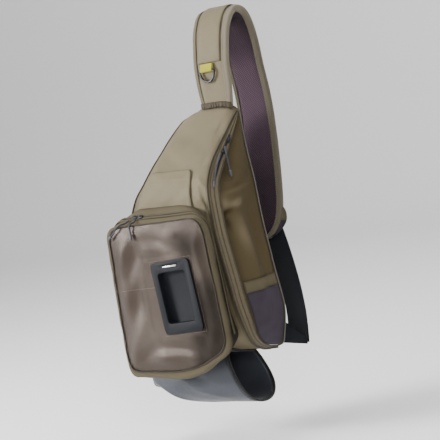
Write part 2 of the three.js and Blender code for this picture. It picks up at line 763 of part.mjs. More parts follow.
// Height of the soft waves on the pocket's face, none at the seam or under the dock's flange
function faceWave(p, share) {
  const fade = Math.sin(Math.PI * clamp((share - FLANGE_SHARE) / (1 - FLANGE_SHARE), 0, 1));
  return fade * FACE_WAVES.reduce((sum, wave) => {
    const turn = THREE.MathUtils.degToRad(wave.turn);
    const way = (p.x * Math.cos(turn) + p.y * Math.sin(turn)) / wave.long;
    return sum + wave.rise * Math.sin(2 * Math.PI * way + wave.phase);
  }, 0);
}

const FLANGE_SHARE = 0.3;
const HOLE_WIDE = RECESS_WIDE / 2 + DOCK_WALL + 4 * GAP;
const HOLE_HIGH = RECESS_HIGH / 2 + DOCK_WALL + 4 * GAP;

// Hole for the dock's tub, one point straight towards each point of the face's seam
function holeLoop() {
  return faceLoop.map((p) => {
    const way = p.clone().sub(new THREE.Vector2(DOCK_X, DOCK_Z));
    way.rotateAround(new THREE.Vector2(0, 0), DOCK_TURN);
    const reach = Math.max(Math.abs(way.x) / HOLE_WIDE, Math.abs(way.y) / HOLE_HIGH);
    return onDock(way.x / reach, way.y / reach);
  });
}

// Face of the pocket: crowned cloth from its seam to the dock's hole
function pocketFace() {
  const hole = holeLoop();
  const edge = inset(faceLoop, GAP);
  const shares = [0, FLANGE_SHARE, 0.52, 0.76, 1];
  const layer = (back) => shares.map((share) => {
    const loop = blend(hole, edge, share);
    const crown = POCKET_CROWN * (1 - share ** 3);
    return ringAt(loop, (p) => POCKET_FRONT + back - crown - faceWave(p, share));
  });
  return hoop([...layer(0), ...layer(POCKET_CLOTH - GAP).reverse()]);
}

function pocketPiping() {
  const y = POCKET_FRONT - PIPING_RADIUS - GAP;
  return cord(ringAt(faceLoop, y), PIPING_RADIUS, 5, true);
}

// Outer surface of the pocket's wall. share: from the body to the rim
function gussetAt(i, share, lift) {
  const loop = inset(blend(backLoop, rimLoop, share), -lift - POCKET_SWELL * Math.sin(Math.PI * share));
  return V(loop[i].x, mix(seamY(i), POCKET_FRONT + POCKET_ROLL, share), loop[i].y);
}

// Strip over the pocket's zip, from the left side over the top to the right shoulder
function pocketZip() {
  const count = backLoop.length;
  const order = steps(POCKET_ZIP_CORNERS).slice(1).map((_, i) => (i - 1 + count) % count);
  const half = POCKET_ZIP_WIDE / 2 / POCKET_DEEP;
  const edges = [POCKET_ZIP_LINE - half, POCKET_ZIP_LINE + half];
  return panel(order.map((i) => ({
    outer: edges.map((s) => gussetAt(i, s, 2 * GAP + POCKET_ZIP_THICK)),
    inner: edges.map((s) => gussetAt(i, s, 2 * GAP)),
  })));
}

function roundedRectangle(wide, high, corner) {
  const points = [[-1, -1], [1, -1], [1, 1], [-1, 1]].map(([x, z]) => ({
    point: new THREE.Vector2((x * wide) / 2, (z * high) / 2),
    radius: corner,
  }));
  return new THREE.Shape(roundedLoop(points, 3, 1));
}

function solid(geometry) {
  const bare = geometry.clone();
  bare.deleteAttribute("normal");
  bare.deleteAttribute("uv");
  const merged = mergeVertices(bare, 1e-4);
  return new wasm.Manifold(new wasm.Mesh({
    numProp: 3,
    vertProperties: merged.attributes.position.array,
    triVerts: new Uint32Array(merged.index.array),
  }));
}

function geometryOf(made) {
  const mesh = made.getMesh();
  const geometry = new THREE.BufferGeometry();
  geometry.setAttribute("position", new THREE.BufferAttribute(mesh.vertProperties, 3));
  geometry.setIndex(new THREE.BufferAttribute(mesh.triVerts, 1));
  geometry.computeVertexNormals();
  return geometry;
}

// Plate of a shape in x and z, its front at y = front and as thick as given
function plate(shape, front, thick) {
  const geometry = new THREE.ExtrudeGeometry(shape, { depth: thick, bevelEnabled: false });
  geometry.rotateX(Math.PI / 2);
  geometry.translate(0, front + thick, 0);
  return geometry;
}

// Moulded tray: flange, tub walls and floor in one piece, with a slot for its pin
function dockTray() {
  const flange = roundedRectangle(DOCK_WIDE, DOCK_HIGH, DOCK_CORNER);
  const tub = roundedRectangle(RECESS_WIDE + 2 * DOCK_WALL, RECESS_HIGH + 2 * DOCK_WALL, RECESS_CORNER);
  const recess = roundedRectangle(RECESS_WIDE, RECESS_HIGH, RECESS_CORNER);
  const slotHigh = 2 * (DOCK_PIN_RADIUS + DOCK_SLOT_PLAY);
  const slot = roundedRectangle(DOCK_PIN_LONG + 2 * DOCK_SLOT_PLAY, slotHigh, DOCK_SLOT_CORNER);
  const outer = solid(plate(flange, 0, DOCK_FLANGE)).add(solid(plate(tub, 0, DOCK_DEEP)));
  const hollow = outer.subtract(solid(plate(recess, -OVERCUT, DOCK_DEEP - DOCK_WALL + OVERCUT)));
  const cut = plate(slot, -OVERCUT, DOCK_FLANGE + 2 * OVERCUT);
  cut.translate(0, 0, dockPinZ());
  return geometryOf(hollow.subtract(solid(cut)));
}

// Height of the pin, in the middle of the upper flange
const dockPinZ = () => (DOCK_HIGH + RECESS_HIGH) / 4;

// Short bar across the slot in the tray's upper flange, for clips
function dockPin() {
  const geometry = new THREE.CylinderGeometry(DOCK_PIN_RADIUS, DOCK_PIN_RADIUS, DOCK_PIN_LONG, 10);
  geometry.rotateZ(Math.PI / 2);
  return geometry;
}

// Strap stations
const strap = Object.fromEntries(Object.keys(STRAP[0]).map((key) => [key, column(STRAP, key)]));
const strapY = (t) => STRAP_BACK * strap.back(t);
const strapZ = (t) => STRAP_HIGH * strap.up(t) - STRAP_FALL * strap.fall(t);
const FOOT_BLEND = 30;

// How far the body's top lies below its crown at x, so that the strap's foot follows it
function topDip(x) {
  const u = clamp((x - leftX(SIDE_START)) / (rightX(SIDE_START) - leftX(SIDE_START)), 0, 1);
  return FRONT_CROWN * (2 * u - 1) ** 4;
}

// Point of the strap: x from its middle line, n outwards from its middle surface
function strapAt(x, n, t) {
  const step = 0.002;
  const dy = strapY(t + step) - strapY(t - step);
  const dz = strapZ(t + step) - strapZ(t - step);
  const long = Math.hypot(dy, dz);
  const side = STRAP_WIDE * strap.side(t) + x;
  const z = strapZ(t) + (dy / long) * n;
  const dip = t < 0.2 ? topDip(side) * Math.max(0, 1 - z / FOOT_BLEND) : 0;
  return V(side, strapY(t) - (dz / long) * n, z - dip);
}

const STRAP_STEPS = steps(26);
const halfStrap = (t) => (STRAP_WIDE * strap.wide(t)) / 2;
const HALF_THICK = STRAP_THICK / 2;

// Layer of the strap between the bindings, flat where they grip it and swelling between them
function strapLayer(low, high, lowSwell, highSwell) {
  return panel(STRAP_STEPS.map((t) => {
    const edge = halfStrap(t) - BINDING_THICK - 3 * GAP - BINDING_SLACK;
    const lip = Math.max(halfStrap(t) - BINDING_WIDE - GAP, GAP);
    const row = (n, swell) => [
      strapAt(-edge, n, t),
      strapAt(-lip, n, t),
      strapAt(0, n + swell, t),
      strapAt(lip, n, t),
      strapAt(edge, n, t),
    ];
    return { outer: row(high, highSwell), inner: row(low, lowSwell) };
  }));
}

// Outer cloth layer of the strap, and the padded mesh layer on the wearer's side
const strapCover = () => strapLayer(HALF_THICK - COVER_THICK, HALF_THICK, 0, COVER_SWELL);
const strapPad = () => strapLayer(-HALF_THICK, HALF_THICK - COVER_THICK - GAP, -PAD_SWELL, 0);

// Binding folded round one edge of the strap. edge: -1 left, 1 right
function strapBinding(edge) {
  const out = HALF_THICK + GAP + BINDING_THICK;
  const clear = HALF_THICK + GAP;
  return panel(STRAP_STEPS.map((t) => {
    const half = halfStrap(t);
    const lip = half - BINDING_WIDE;
    const at = (x, n) => strapAt(edge * x, n, t);
    const inner = half - BINDING_THICK - GAP;
    const [corner, small] = [BINDING_CORNER, BINDING_INNER_CORNER];
    return {
      outer: [
        at(lip, out),
        at(half - corner, out),
        at(half, out - corner),
        at(half, corner - out),
        at(half - corner, -out),
        at(lip, -out),
      ],
      inner: [
        at(lip, clear),
        at(inner - small, clear),
        at(inner, clear - small),
        at(inner, small - clear),
        at(inner - small, -clear),
        at(lip, -clear),
      ],
    };
  }));
}

// Raised panel on the strap's outside, from above the ring to behind the shoulder
function strapOverlay() {
  const from = solve(strapZ, OVERLAY_FOOT, 0, 6 / STRAP_SPAN);
  const to = solve(strapZ, OVERLAY_END, 6 / STRAP_SPAN, 1);
  const base = HALF_THICK + COVER_SWELL + 2 * GAP;
  const across = steps(3).map((u) => (u - 0.5) * OVERLAY_WIDE);
  const alongs = steps(14).map((s) => mix(from, to, s));
  return sheet((x, t, lift) => strapAt(x, base + lift, t), across, alongs, 0, OVERLAY_THICK);
}

// Gathered seam allowance across the strap's foot
function footFrill() {
  const half = (STRAP_WIDE * FRILL_WIDE) / 2;
  const from = solve(strapZ, FRILL_FOOT, 0, 0.2);
  const to = solve(strapZ, FRILL_FOOT + FRILL_HIGH, 0, 0.2);
  const base = HALF_THICK + COVER_SWELL + GAP;
  return panel(steps(4 * FRILL_FOLDS).map((s) => {
    const x = mix(-half, half, s);
    const ripple = (FRILL_RISE / 2) * (1 + Math.sin(2 * Math.PI * FRILL_FOLDS * s));
    const at = (t, n) => strapAt(x, base + n, t);
    return {
      outer: [at(from, FRILL_THICK + ripple), at(to, FRILL_THICK)],
      inner: [at(from, 0), at(to, 0)],
    };
  }));
}

// Where the ring's straight bar lies in front of the strap
const ringZ = OVERLAY_FOOT - RING_DROP;
const ringT = solve(strapZ, ringZ, 0, 6 / STRAP_SPAN);
const tabLoop = RING_WIRE + RING_PLAY + TAB_THICK;
const ringY = strapAt(0, HALF_THICK + COVER_SWELL, ringT).y - GAP - tabLoop;

// Webbing tab, folded round the ring's bar and sewn flat above it
function ringTab() {
  const shape = new THREE.Shape();
  const flat = -tabLoop + 2 * TAB_THICK;
  shape.absarc(0, 0, tabLoop, Math.asin(flat / tabLoop), Math.PI, true);
  shape.lineTo(-tabLoop, OVERLAY_FOOT - ringZ - GAP);
  shape.lineTo(flat, OVERLAY_FOOT - ringZ - GAP);
  const eye = new THREE.Path();
  eye.absarc(0, 0, RING_WIRE + RING_PLAY, 0, 2 * Math.PI, false);
  shape.holes.push(eye);
  const geometry = new THREE.ExtrudeGeometry(shape, {
    depth: TAB_WIDE, bevelEnabled: false, curveSegments: 7,
  });
  geometry.applyMatrix4(new THREE.Matrix4().makeBasis(V(0, -1, 0), V(0, 0, 1), V(-1, 0, 0)));
  geometry.translate(TAB_WIDE / 2, 0, 0);
  return geometry;
}

// D-shaped wire ring about its own bar
function ring() {
  const half = RING_WIDE / 2 - RING_WIRE;
  const end = half - RING_SHOULDER;
  const bar = steps(3).map((s) => V(mix(-end, end, s), 0, 0));
  const bow = steps(12).map((s) => {
    const z = -RING_STEP - (RING_HIGH - RING_WIRE) * Math.sin(Math.PI * s);
    return V(half * Math.cos(Math.PI * s), 0, z);
  });
  return cord([...bar, ...bow], RING_WIRE, 8, true);
}

// Webbing stations
const webbing = Object.fromEntries(Object.keys(WEBBING[0]).map((key) => [key, column(WEBBING, key)]));
function sideWebbing() {
  const across = [-0.5, 0, 0.5];
  return panel(steps(14).map((t) => {
    const y = STRAP_BACK * webbing.back(t);
    const z = -WEBBING_FOOT * webbing.down(t);
    const at = (u, behind) => V(WEBBING_WIDE * (webbing.side(t) + u), y + behind, z);
    return {
      outer: across.map((u) => at(u, 0)),
      inner: across.map((u) => at(u, WEBBING_THICK)),
    };
  }));
}

// Short curved flap on the strap's end that takes the webbing
function strapFlap() {
  return panel(steps(8).map((s) => {
    const bow = Math.sin(Math.PI * s);
    const z = -mix(FLAP_TOP, 1, s) * STRAP_FALL;
    const t = solve(strapZ, z, 0.5, 1);
    const start = STRAP_WIDE * (strap.side(t) + strap.wide(t) / 2) + FLAP_ASIDE;
    const tip = start + FLAP_WIDE + FLAP_BOW * bow;
    const near = strapY(t) + FLAP_BEHIND;
    return {
      outer: [V(start, near, z), V(tip, near - FLAP_TURN, z)],
      inner: [V(start, near + FLAP_THICK, z), V(tip, near - FLAP_TURN + FLAP_THICK, z)],
    };
  }));
}

// Sleeve stations
const sleeve = Object.fromEntries(Object.keys(SLEEVE[0]).map((key) => [key, column(SLEEVE, key)]));
const SLEEVE_SIDES = 24;

// Underside of the body at a depth, which the sleeve's top lies against
function bottomZ(y) {
  const t = solve(pathY, y, 1 - 5 * SIDE_START, 1);
  return pathZ(t);
}

// Point of the sleeve's outer surface or, with a wall, of its inner one
function sleeveAt(turn, t, wall) {
  const up = Math.sin(turn);
  const tall = SLEEVE_TALL * (up < 0 ? sleeve.low(t) : sleeve.high(t)) - wall;
  const y = SLEEVE_Y - (SLEEVE_DEEP * sleeve.deep(t) - wall) * Math.cos(turn);
  const ceiling = bottomZ(y) - 2 * GAP - wall;
  const z = Math.min(SLEEVE_Z + up * tall, ceiling);
  const mouth = SLEEVE_MOUTH_X - SLEEVE_MOUTH_SLANT * (z - SLEEVE_Z);
  return V(mouth - (1 - sleeve.along(t)) * (mouth - SLEEVE_MOUTH_X + SLEEVE_LONG), y, z);
}

const sleeveRing = (t, wall, along = 0) => Array.from({ length: SLEEVE_SIDES }, (_, i) => {
  const p = sleeveAt((2 * Math.PI * i) / SLEEVE_SIDES, t, wall);
  return V(p.x + along, p.y, p.z);
});

function bottleSleeve() {
  const outer = [0, 0.06, 0.125, 0.19, 0.25, 0.36, 0.65, 1];
  const inner = outer.slice().reverse();
  return capped([
    ...outer.map((t) => sleeveRing(t, 0)),
    ...inner.map((t) => sleeveRing(t, SLEEVE_CLOTH, t === 0 ? SLEEVE_CLOTH : 0)),
  ]);
}

// Elastic band sewn to the sleeve's mouth
function sleeveBand() {
  return hoop([
    sleeveRing(1, 0, GAP),
    sleeveRing(1, -BAND_SWELL, GAP + BAND_CORNER),
    sleeveRing(1, -BAND_SWELL, SLEEVE_BAND - BAND_CORNER),
    sleeveRing(1, BAND_ROUND, SLEEVE_BAND),
    sleeveRing(1, SLEEVE_CLOTH - BAND_ROUND, SLEEVE_BAND),
    sleeveRing(1, SLEEVE_CLOTH + BAND_SWELL, SLEEVE_BAND - BAND_CORNER),
    sleeveRing(1, SLEEVE_CLOTH, GAP),
  ]);
}

// Zip slider: a waisted body with a raised bridge
function slider() {
  const right = SLIDER_PLAN.map((row) => (
    new THREE.Vector2(row.along * SLIDER_LONG, row.half * SLIDER_WIDE)
  ));
  const left = right.slice().reverse().map((p) => new THREE.Vector2(p.x, -p.y));
  const base = new THREE.ExtrudeGeometry(new THREE.Shape([...right, ...left]), {
    depth: SLIDER_HIGH * SLIDER_BASE,
    bevelEnabled: false,
  });
  const [long, wide] = [SLIDER_LONG * BRIDGE_LONG, SLIDER_WIDE * BRIDGE_WIDE];
  const bridge = new THREE.BoxGeometry(long, wide, SLIDER_HIGH);
  bridge.translate(0, 0, SLIDER_HIGH / 2);
  return geometryOf(solid(base).add(solid(bridge)));
}

// Matrix that sets a slider on a surface: along its length, out of the surface
function seat(centre, along, out) {
  const x = along.clone().normalize();
  const z = out.clone().sub(x.clone().multiplyScalar(out.dot(x))).normalize();
  return new THREE.Matrix4().makeBasis(x, z.clone().cross(x), z).setPosition(centre);
}

// Seat of a slider on the main zip, at a share of the body's height
function mainSeat(fall) {
  const t = solve(pathZ, -BODY_HIGH * fall, SIDE_START, 0.7);
  const lift = 2 * GAP + ZIP_COIL_THICK;
  const base = stripAt(ZIP_COIL_LINE, t, lift);
  const ahead = stripAt(ZIP_COIL_LINE, t + 0.01, lift);
  const out = stripAt(ZIP_COIL_LINE, t, 2 * lift).sub(base);
  return seat(base, ahead.sub(base), out);
}

// Seat of a slider on the pocket's zip, at a place between the loop's points
function pocketSeat(place) {
  const lift = 3 * GAP + POCKET_ZIP_THICK;
  const i = Math.floor(place);
  const base = gussetAt(i, POCKET_ZIP_LINE, lift).lerp(gussetAt(i + 1, POCKET_ZIP_LINE, lift), place - i);
  const along = gussetAt(i + 1, POCKET_ZIP_LINE, lift).sub(gussetAt(i, POCKET_ZIP_LINE, lift));
  const across = gussetAt(i, POCKET_ZIP_LINE + 0.1, lift).sub(gussetAt(i, POCKET_ZIP_LINE - 0.1, lift));
  return seat(base, along, across.cross(along));
}

// Moulded tip on the end of a pull cord
function pullTip(points) {
  const [before, end] = points.slice(-2).map((p) => V(...p));
  const way = end.clone().sub(before).normalize();
  const from = end.clone().addScaledVector(way, GAP);
  const side = V(0, 1, 0).cross(way).normalize();
  const up = way.clone().cross(side);
  return capped(TIP_PROFILE.map((row) => Array.from({ length: 8 }, (_, i) => {
    const turn = (2 * Math.PI * i) / 8;
    return from.clone()
      .addScaledVector(way, row.along * PULL_TIP_LONG)
      .addScaledVector(side, PULL_TIP_RADIUS * row.round * Math.cos(turn))
      .addScaledVector(up, PULL_TIP_RADIUS * row.round * Math.sin(turn));
  })));
}

const bag = new THREE.Group();
const shoulder = strapAt(0, -HALF_THICK - PAD_SWELL, 6 / STRAP_SPAN);
bag.position.copy(shoulder).negate();

function add(name, geometry, material, parent = bag) {
  const mesh = new THREE.Mesh(geometry, material);
  mesh.name = name;
  parent.add(mesh);
  return mesh;
}

add("back_panel", backPanel(), finish(OLIVE_SIDE, 0.85));
add("front_panel", frontPanel(), finish(OLIVE, 0.7));
add("side_panel_right", rightSide(), finish(OLIVE_SIDE, 0.6));
add("side_panel_left", leftSide(), finish(OLIVE_SIDE, 0.7));
add("zip_strip", zipStrip(), finish(OLIVE, 0.75));
add("main_zip_coil", zipCoil(), finish(CHARCOAL, 0.5));
add("back_piping", backPiping(), finish(OLIVE, 0.7));
add("front_piping_left", frontPiping(0), finish(PIPING_BROWN, 0.7));
add("front_piping_right", frontPiping(1), finish(PIPING_BROWN, 0.7));
add("slip_pocket", slipPanel(), finish(OLIVE, 0.7));
add("side_hem", hem(), finish(OLIVE, 0.75));
add("fly_patch", patch(), finish(PLUM, 0.95));

add("pocket_gusset", pocketGusset(), finish(OLIVE, 0.7));
add("pocket_face", pocketFace(), finish(TAUPE, 0.4));
add("pocket_piping", pocketPiping(), finish(PIPING_BROWN, 0.6));
add("pocket_zip", pocketZip(), finish(OLIVE, 0.6));

const dock = new THREE.Group();
dock.position.set(DOCK_X, POCKET_FRONT - POCKET_CROWN - 2 * GAP - DOCK_FLANGE, DOCK_Z);
dock.rotation.y = DOCK_TURN;
bag.add(dock);
add("dock_tray", dockTray(), finish(CHARCOAL, 0.4), dock);
const pin = add("dock_pin", dockPin(), finish(STEEL, 0.3, 0.8), dock);
pin.position.set(0, DOCK_FLANGE - DOCK_PIN_RADIUS - GAP, dockPinZ());

add("strap_cover", strapCover(), finish(OLIVE, 0.7));
add("strap_pad", strapPad(), finish(PLUM, 0.95));
add("strap_binding_left", strapBinding(-1), finish(OLIVE, 0.65));
add("strap_binding_right", strapBinding(1), finish(OLIVE, 0.65));
add("strap_overlay", strapOverlay(), finish(OLIVE, 0.7));
add("strap_foot_frill", footFrill(), finish(OLIVE_SIDE, 0.7));
add("strap_end_flap", strapFlap(), finish(OLIVE_SIDE, 0.8));
add("side_webbing", sideWebbing(), finish(BLACK, 0.7));

const ringSeat = new THREE.Group();
ringSeat.position.set(RING_X, ringY, ringZ);
bag.add(ringSeat);
add("ring_tab", ringTab(), finish(TAB_YELLOW, 0.8), ringSeat);
add("d_ring", ring(), finish(GUNMETAL, 0.35, 0.7), ringSeat);

add("bottle_sleeve", bottleSleeve(), finish(SLATE, 0.6));
add("sleeve_band", sleeveBand(), finish(BLACK, 0.6));

const seats = {
  main_upper: mainSeat(MAIN_SEATS.upper),
  main_lower: mainSeat(MAIN_SEATS.lower),
  pocket_right: pocketSeat(POCKET_SEATS.right),
  pocket_left: pocketSeat(POCKET_SEATS.left),
};
for (const [name, points] of Object.entries(PULLS)) {
  const path = points.map((p) => V(...p));
  add(`slider_${name}`, slider().applyMatrix4(seats[name]), finish(GUNMETAL, 0.4, 0.6));
  add(`pull_cord_${name}`, cord(path, PULL_CORD_RADIUS, 8, false, 2), finish(GREY_CORD, 0.7));
  add(`pull_tip_${name}`, pullTip(points), finish(CHARCOAL, 0.5));
}

const root = new THREE.Group();
root.add(bag);
export default root;
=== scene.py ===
"""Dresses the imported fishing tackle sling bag: modelled cloth, seams, zips, cords and finishes.

Shapes are worked out in millimetres from the middle of the strap's foot on the back panel's rear
plane (x right, y back, z up) and moved into the frame, whose origin is the shoulder seat.
"""

from __future__ import annotations

import logging
import math
from dataclasses import dataclass
from enum import Enum
from typing import Callable, Sequence

import bmesh
import bpy
import numpy as np
from mathutils import Matrix, Vector

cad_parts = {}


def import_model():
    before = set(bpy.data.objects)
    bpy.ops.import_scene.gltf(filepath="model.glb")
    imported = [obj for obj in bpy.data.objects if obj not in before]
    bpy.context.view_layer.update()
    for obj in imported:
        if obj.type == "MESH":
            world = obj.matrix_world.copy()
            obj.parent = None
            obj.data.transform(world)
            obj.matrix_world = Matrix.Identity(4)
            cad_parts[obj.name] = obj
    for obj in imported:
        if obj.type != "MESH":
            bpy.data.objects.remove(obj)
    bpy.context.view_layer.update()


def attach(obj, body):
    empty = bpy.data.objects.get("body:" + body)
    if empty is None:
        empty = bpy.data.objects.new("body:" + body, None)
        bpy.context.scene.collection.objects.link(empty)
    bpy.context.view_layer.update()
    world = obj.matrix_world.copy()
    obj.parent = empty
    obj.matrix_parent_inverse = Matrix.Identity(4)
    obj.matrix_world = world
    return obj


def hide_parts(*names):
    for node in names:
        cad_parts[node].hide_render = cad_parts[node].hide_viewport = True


LOG = logging.getLogger("sling_bag")
MM = 0.001
TURN = 2 * math.pi
BAG = "bag"
RING_BODY = "ring"
FILL_FRAMES = 20

Array = np.ndarray
Colour = tuple[float, float, float]


def linked(name: str, data: bpy.types.ID) -> bpy.types.Object:
    """Makes an object of its data and links it to the scene."""
    made = bpy.data.objects.new(name, data)
    bpy.context.scene.collection.objects.link(made)
    return made


# Camera and pull cords: fixed by the photograph


@dataclass(frozen=True)
class Shot:
    """Where the photograph was taken from, and its framing."""

    yaw: float = 38.0
    rise: float = 5.0
    roll: float = 10.0
    distance: float = 2.6
    target: tuple[float, float, float] = (-0.0188, -0.0806, -0.3475)
    focal_px: float = 1508.0
    image_px: float = 440.0
    sensor_mm: float = 36.0

    def aim(self) -> bpy.types.Object:
        """Makes the camera and returns it."""
        yaw, rise, roll = (math.radians(v) for v in (self.yaw, self.rise, self.roll))
        back = Vector((math.sin(yaw) * math.cos(rise), -math.cos(yaw) * math.cos(rise), math.sin(rise)))
        level = Vector((math.cos(yaw), math.sin(yaw), 0.0))
        upright = back.cross(level)
        right = level * math.cos(roll) - upright * math.sin(roll)
        up = level * math.sin(roll) + upright * math.cos(roll)
        data = bpy.data.cameras.new("camera")
        data.sensor_width = self.sensor_mm
        data.lens = self.focal_px / self.image_px * self.sensor_mm
        camera = linked("camera", data)
        turn = Matrix((right, up, back)).transposed().to_4x4()
        camera.matrix_world = Matrix.Translation(Vector(self.target) + back * self.distance) @ turn
        bpy.context.scene.camera = camera
        return camera


@dataclass(frozen=True)
class PullCord:
    """A zip's pull cord: the points it passes, from its slider to its tip, in the strap foot's frame."""

    name: str
    points: tuple[tuple[float, float, float], ...]
    radius: float = 1.5
    tip_radius: float = 2.7
    tip_long: float = 11.0


PULLS = (
    PullCord("main_upper", (
        (41, -72, -65), (43.6, -75.4, -74.5), (45.4, -77.4, -84.5), (47, -79, -95), (48, -79.6, -105),
    )),
    PullCord("main_lower", (
        (41, -88, -75), (40.3, -95.6, -85), (39.4, -103.5, -96.5), (40, -110.5, -107.5),
        (40.6, -116.5, -118),
    )),
    PullCord("pocket_right", (
        (-111, -157.6, -163.2), (-111, -163.5, -166.8), (-111, -171.5, -167.8), (-111, -177, -172.6),
        (-110.6, -177.2, -179), (-110, -178.2, -184.5),
    )),
    PullCord("pocket_left", (
        (-126, -157.6, -163.4), (-130, -164, -167), (-135, -171.5, -168.2), (-141, -177.4, -172.8),
        (-147, -178, -179.5), (-153, -178.6, -184.5),
    )),
)


def spline(values: Array, at: Array) -> Array:
    """Smooth values of a sequence, at fractional places along it."""
    last = len(values) - 1
    row = np.minimum(np.floor(at).astype(int), last - 1)
    t = np.reshape(at - row, np.shape(at) + (1,) * (values.ndim - 1))
    a, b, c, d = (values[np.clip(row + k, 0, last)] for k in (-1, 0, 1, 2))
    return b + 0.5 * t * (c - a + t * (2 * a - 5 * b + 4 * c - d + t * (3 * (b - c) + d - a)))


# Tables of the bag's shape


class Table:
    """Named columns of numbers, read smoothly at a share of the table's length."""

    def __init__(self, columns: str, *rows: Sequence[float]) -> None:
        """Keeps the rows under their columns' names."""
        self.names = columns.split()
        self.rows = np.array(rows, float)

    def __call__(self, name: str, share: Array) -> Array:
        """Smooth value of a column.

        Args:
            name: the column.
            share: places along the table, 0 to 1.

        Returns:
            The column's values there.
        """
        values = self.rows[:, self.names.index(name)]
        return spline(values, within(np.asarray(share, float)) * (len(values) - 1))


BODY = Table(
    "down deep left right back crown band",
    (0.021, 0.082, 0.253, 0.16, 0.148, 1.0, 0.1),
    (0.026, 0.125, 0.287, 0.16, 0.148, 1.0, 0.12),
    (0.038, 0.19, 0.333, 0.156, 0.148, 1.0, 0.3),
    (0.091, 0.366, 0.386, 0.139, 0.15, 0.9, 0.6),
    (0.148, 0.58, 0.409, 0.131, 0.156, 0.8, 0.85),
    (0.199, 0.771, 0.43, 0.131, 0.165, 0.6, 1.0),
    (0.258, 0.924, 0.468, 0.135, 0.175, 0.38, 1.0),
    (0.311, 0.99, 0.532, 0.139, 0.179, 0.2, 1.0),
    (0.386, 1.0, 0.603, 0.139, 0.182, 0.1, 1.0),
    (0.487, 0.992, 0.68, 0.143, 0.19, 0.1, 1.0),
    (0.574, 0.969, 0.726, 0.152, 0.205, 0.1, 1.0),
    (0.679, 0.947, 0.747, 0.169, 0.221, 0.1, 1.0),
    (0.761, 0.94, 0.747, 0.184, 0.241, 0.1, 1.0),
    (0.843, 0.893, 0.743, 0.196, 0.252, 0.1, 0.95),
    (0.927, 0.748, 0.722, 0.184, 0.232, 0.05, 0.75),
    (0.977, 0.48, 0.684, 0.165, 0.203, 0.0, 0.4),
    (0.998, 0.125, 0.641, 0.146, 0.186, 0.0, 0.12),
    (1.0, 0.082, 0.633, 0.143, 0.186, 0.0, 0.1),
)
SIDE_START = 1 / (len(BODY.rows) - 1)
SIDE_END = 1 - SIDE_START

# Corners of the pocket where it meets the body (b), at its rim (r) and round its face (f)
POCKET = Table(
    "bx bz br rx rz rr fx fz fr",
    (-0.287, 0.581, 0.07, -0.497, 0.494, 0.11, -0.448, 0.489, 0.13),
    (0.4, 0.574, 0.27, 0.465, 0.5, 0.14, 0.439, 0.504, 0.13),
    (0.42, -0.316, 0.13, 0.513, -0.331, 0.12, 0.483, -0.316, 0.12),
    (0.09, -0.338, 0.17, 0.117, -0.515, 0.22, 0.117, -0.452, 0.22),
    (-0.448, -0.316, 0.1, -0.505, -0.478, 0.08, -0.474, -0.441, 0.11),
    (-0.439, 0.169, 0.26, -0.511, -0.088, 0.26, -0.474, -0.088, 0.26),
)

STRAP = Table(
    "up fall back side wide",
    (0.035, 0, -0.24, 0.0, 0.8),
    (0.21, 0, -0.24, 0.01, 0.9),
    (0.43, 0, -0.23, 0.015, 0.93),
    (0.64, 0, -0.175, 0.04, 0.95),
    (0.825, 0, -0.075, 0.065, 0.97),
    (0.957, 0, 0.1, 0.09, 1.0),
    (1.0, 0, 0.33, 0.1, 1.0),
    (0.945, 0, 0.575, 0.1, 1.0),
    (0.805, 0, 0.76, 0.085, 0.98),
    (0.61, 0, 0.89, 0.062, 0.955),
    (0.366, 0, 0.965, 0.045, 0.94),
    (0.12, 0, 1.0, 0.065, 0.94),
    (0, 0.085, 0.99, 0.083, 0.945),
    (0, 0.27, 0.93, 0.1, 0.96),
    (0, 0.46, 0.825, 0.125, 0.98),
    (0, 0.625, 0.7, 0.16, 0.99),
    (0, 0.77, 0.56, 0.21, 0.96),
    (0, 0.885, 0.44, 0.24, 0.85),
    (0, 0.965, 0.355, 0.24, 0.58),
    (0, 1.0, 0.32, 0.235, 0.265),
)
APEX = 6 / (len(STRAP.rows) - 1)

WEBBING = Table(
    "down back side",
    (0.49, 0.47, 0.4),
    (0.53, 0.525, 0.43),
    (0.6, 0.475, 0.62),
    (0.68, 0.41, 0.82),
    (0.77, 0.34, 1.0),
    (0.87, 0.215, 1.18),
    (0.95, 0.1, 1.27),
    (1.0, 0.03, 1.3),
)

SLEEVE = Table(
    "along low high deep",
    (0.0, -0.02, 0.6, 0.5),
    (0.04, 0.32, 0.76, 0.72),
    (0.12, 0.38, 0.9, 0.86),
    (0.21, 0.72, 1.0, 0.96),
    (0.3, 0.93, 1.0, 1.0),
    (0.42, 1.0, 1.0, 1.0),
    (0.6, 1.0, 1.0, 1.0),
    (0.8, 1.0, 1.0, 1.0),
    (1.0, 1.0, 1.0, 1.0),
)

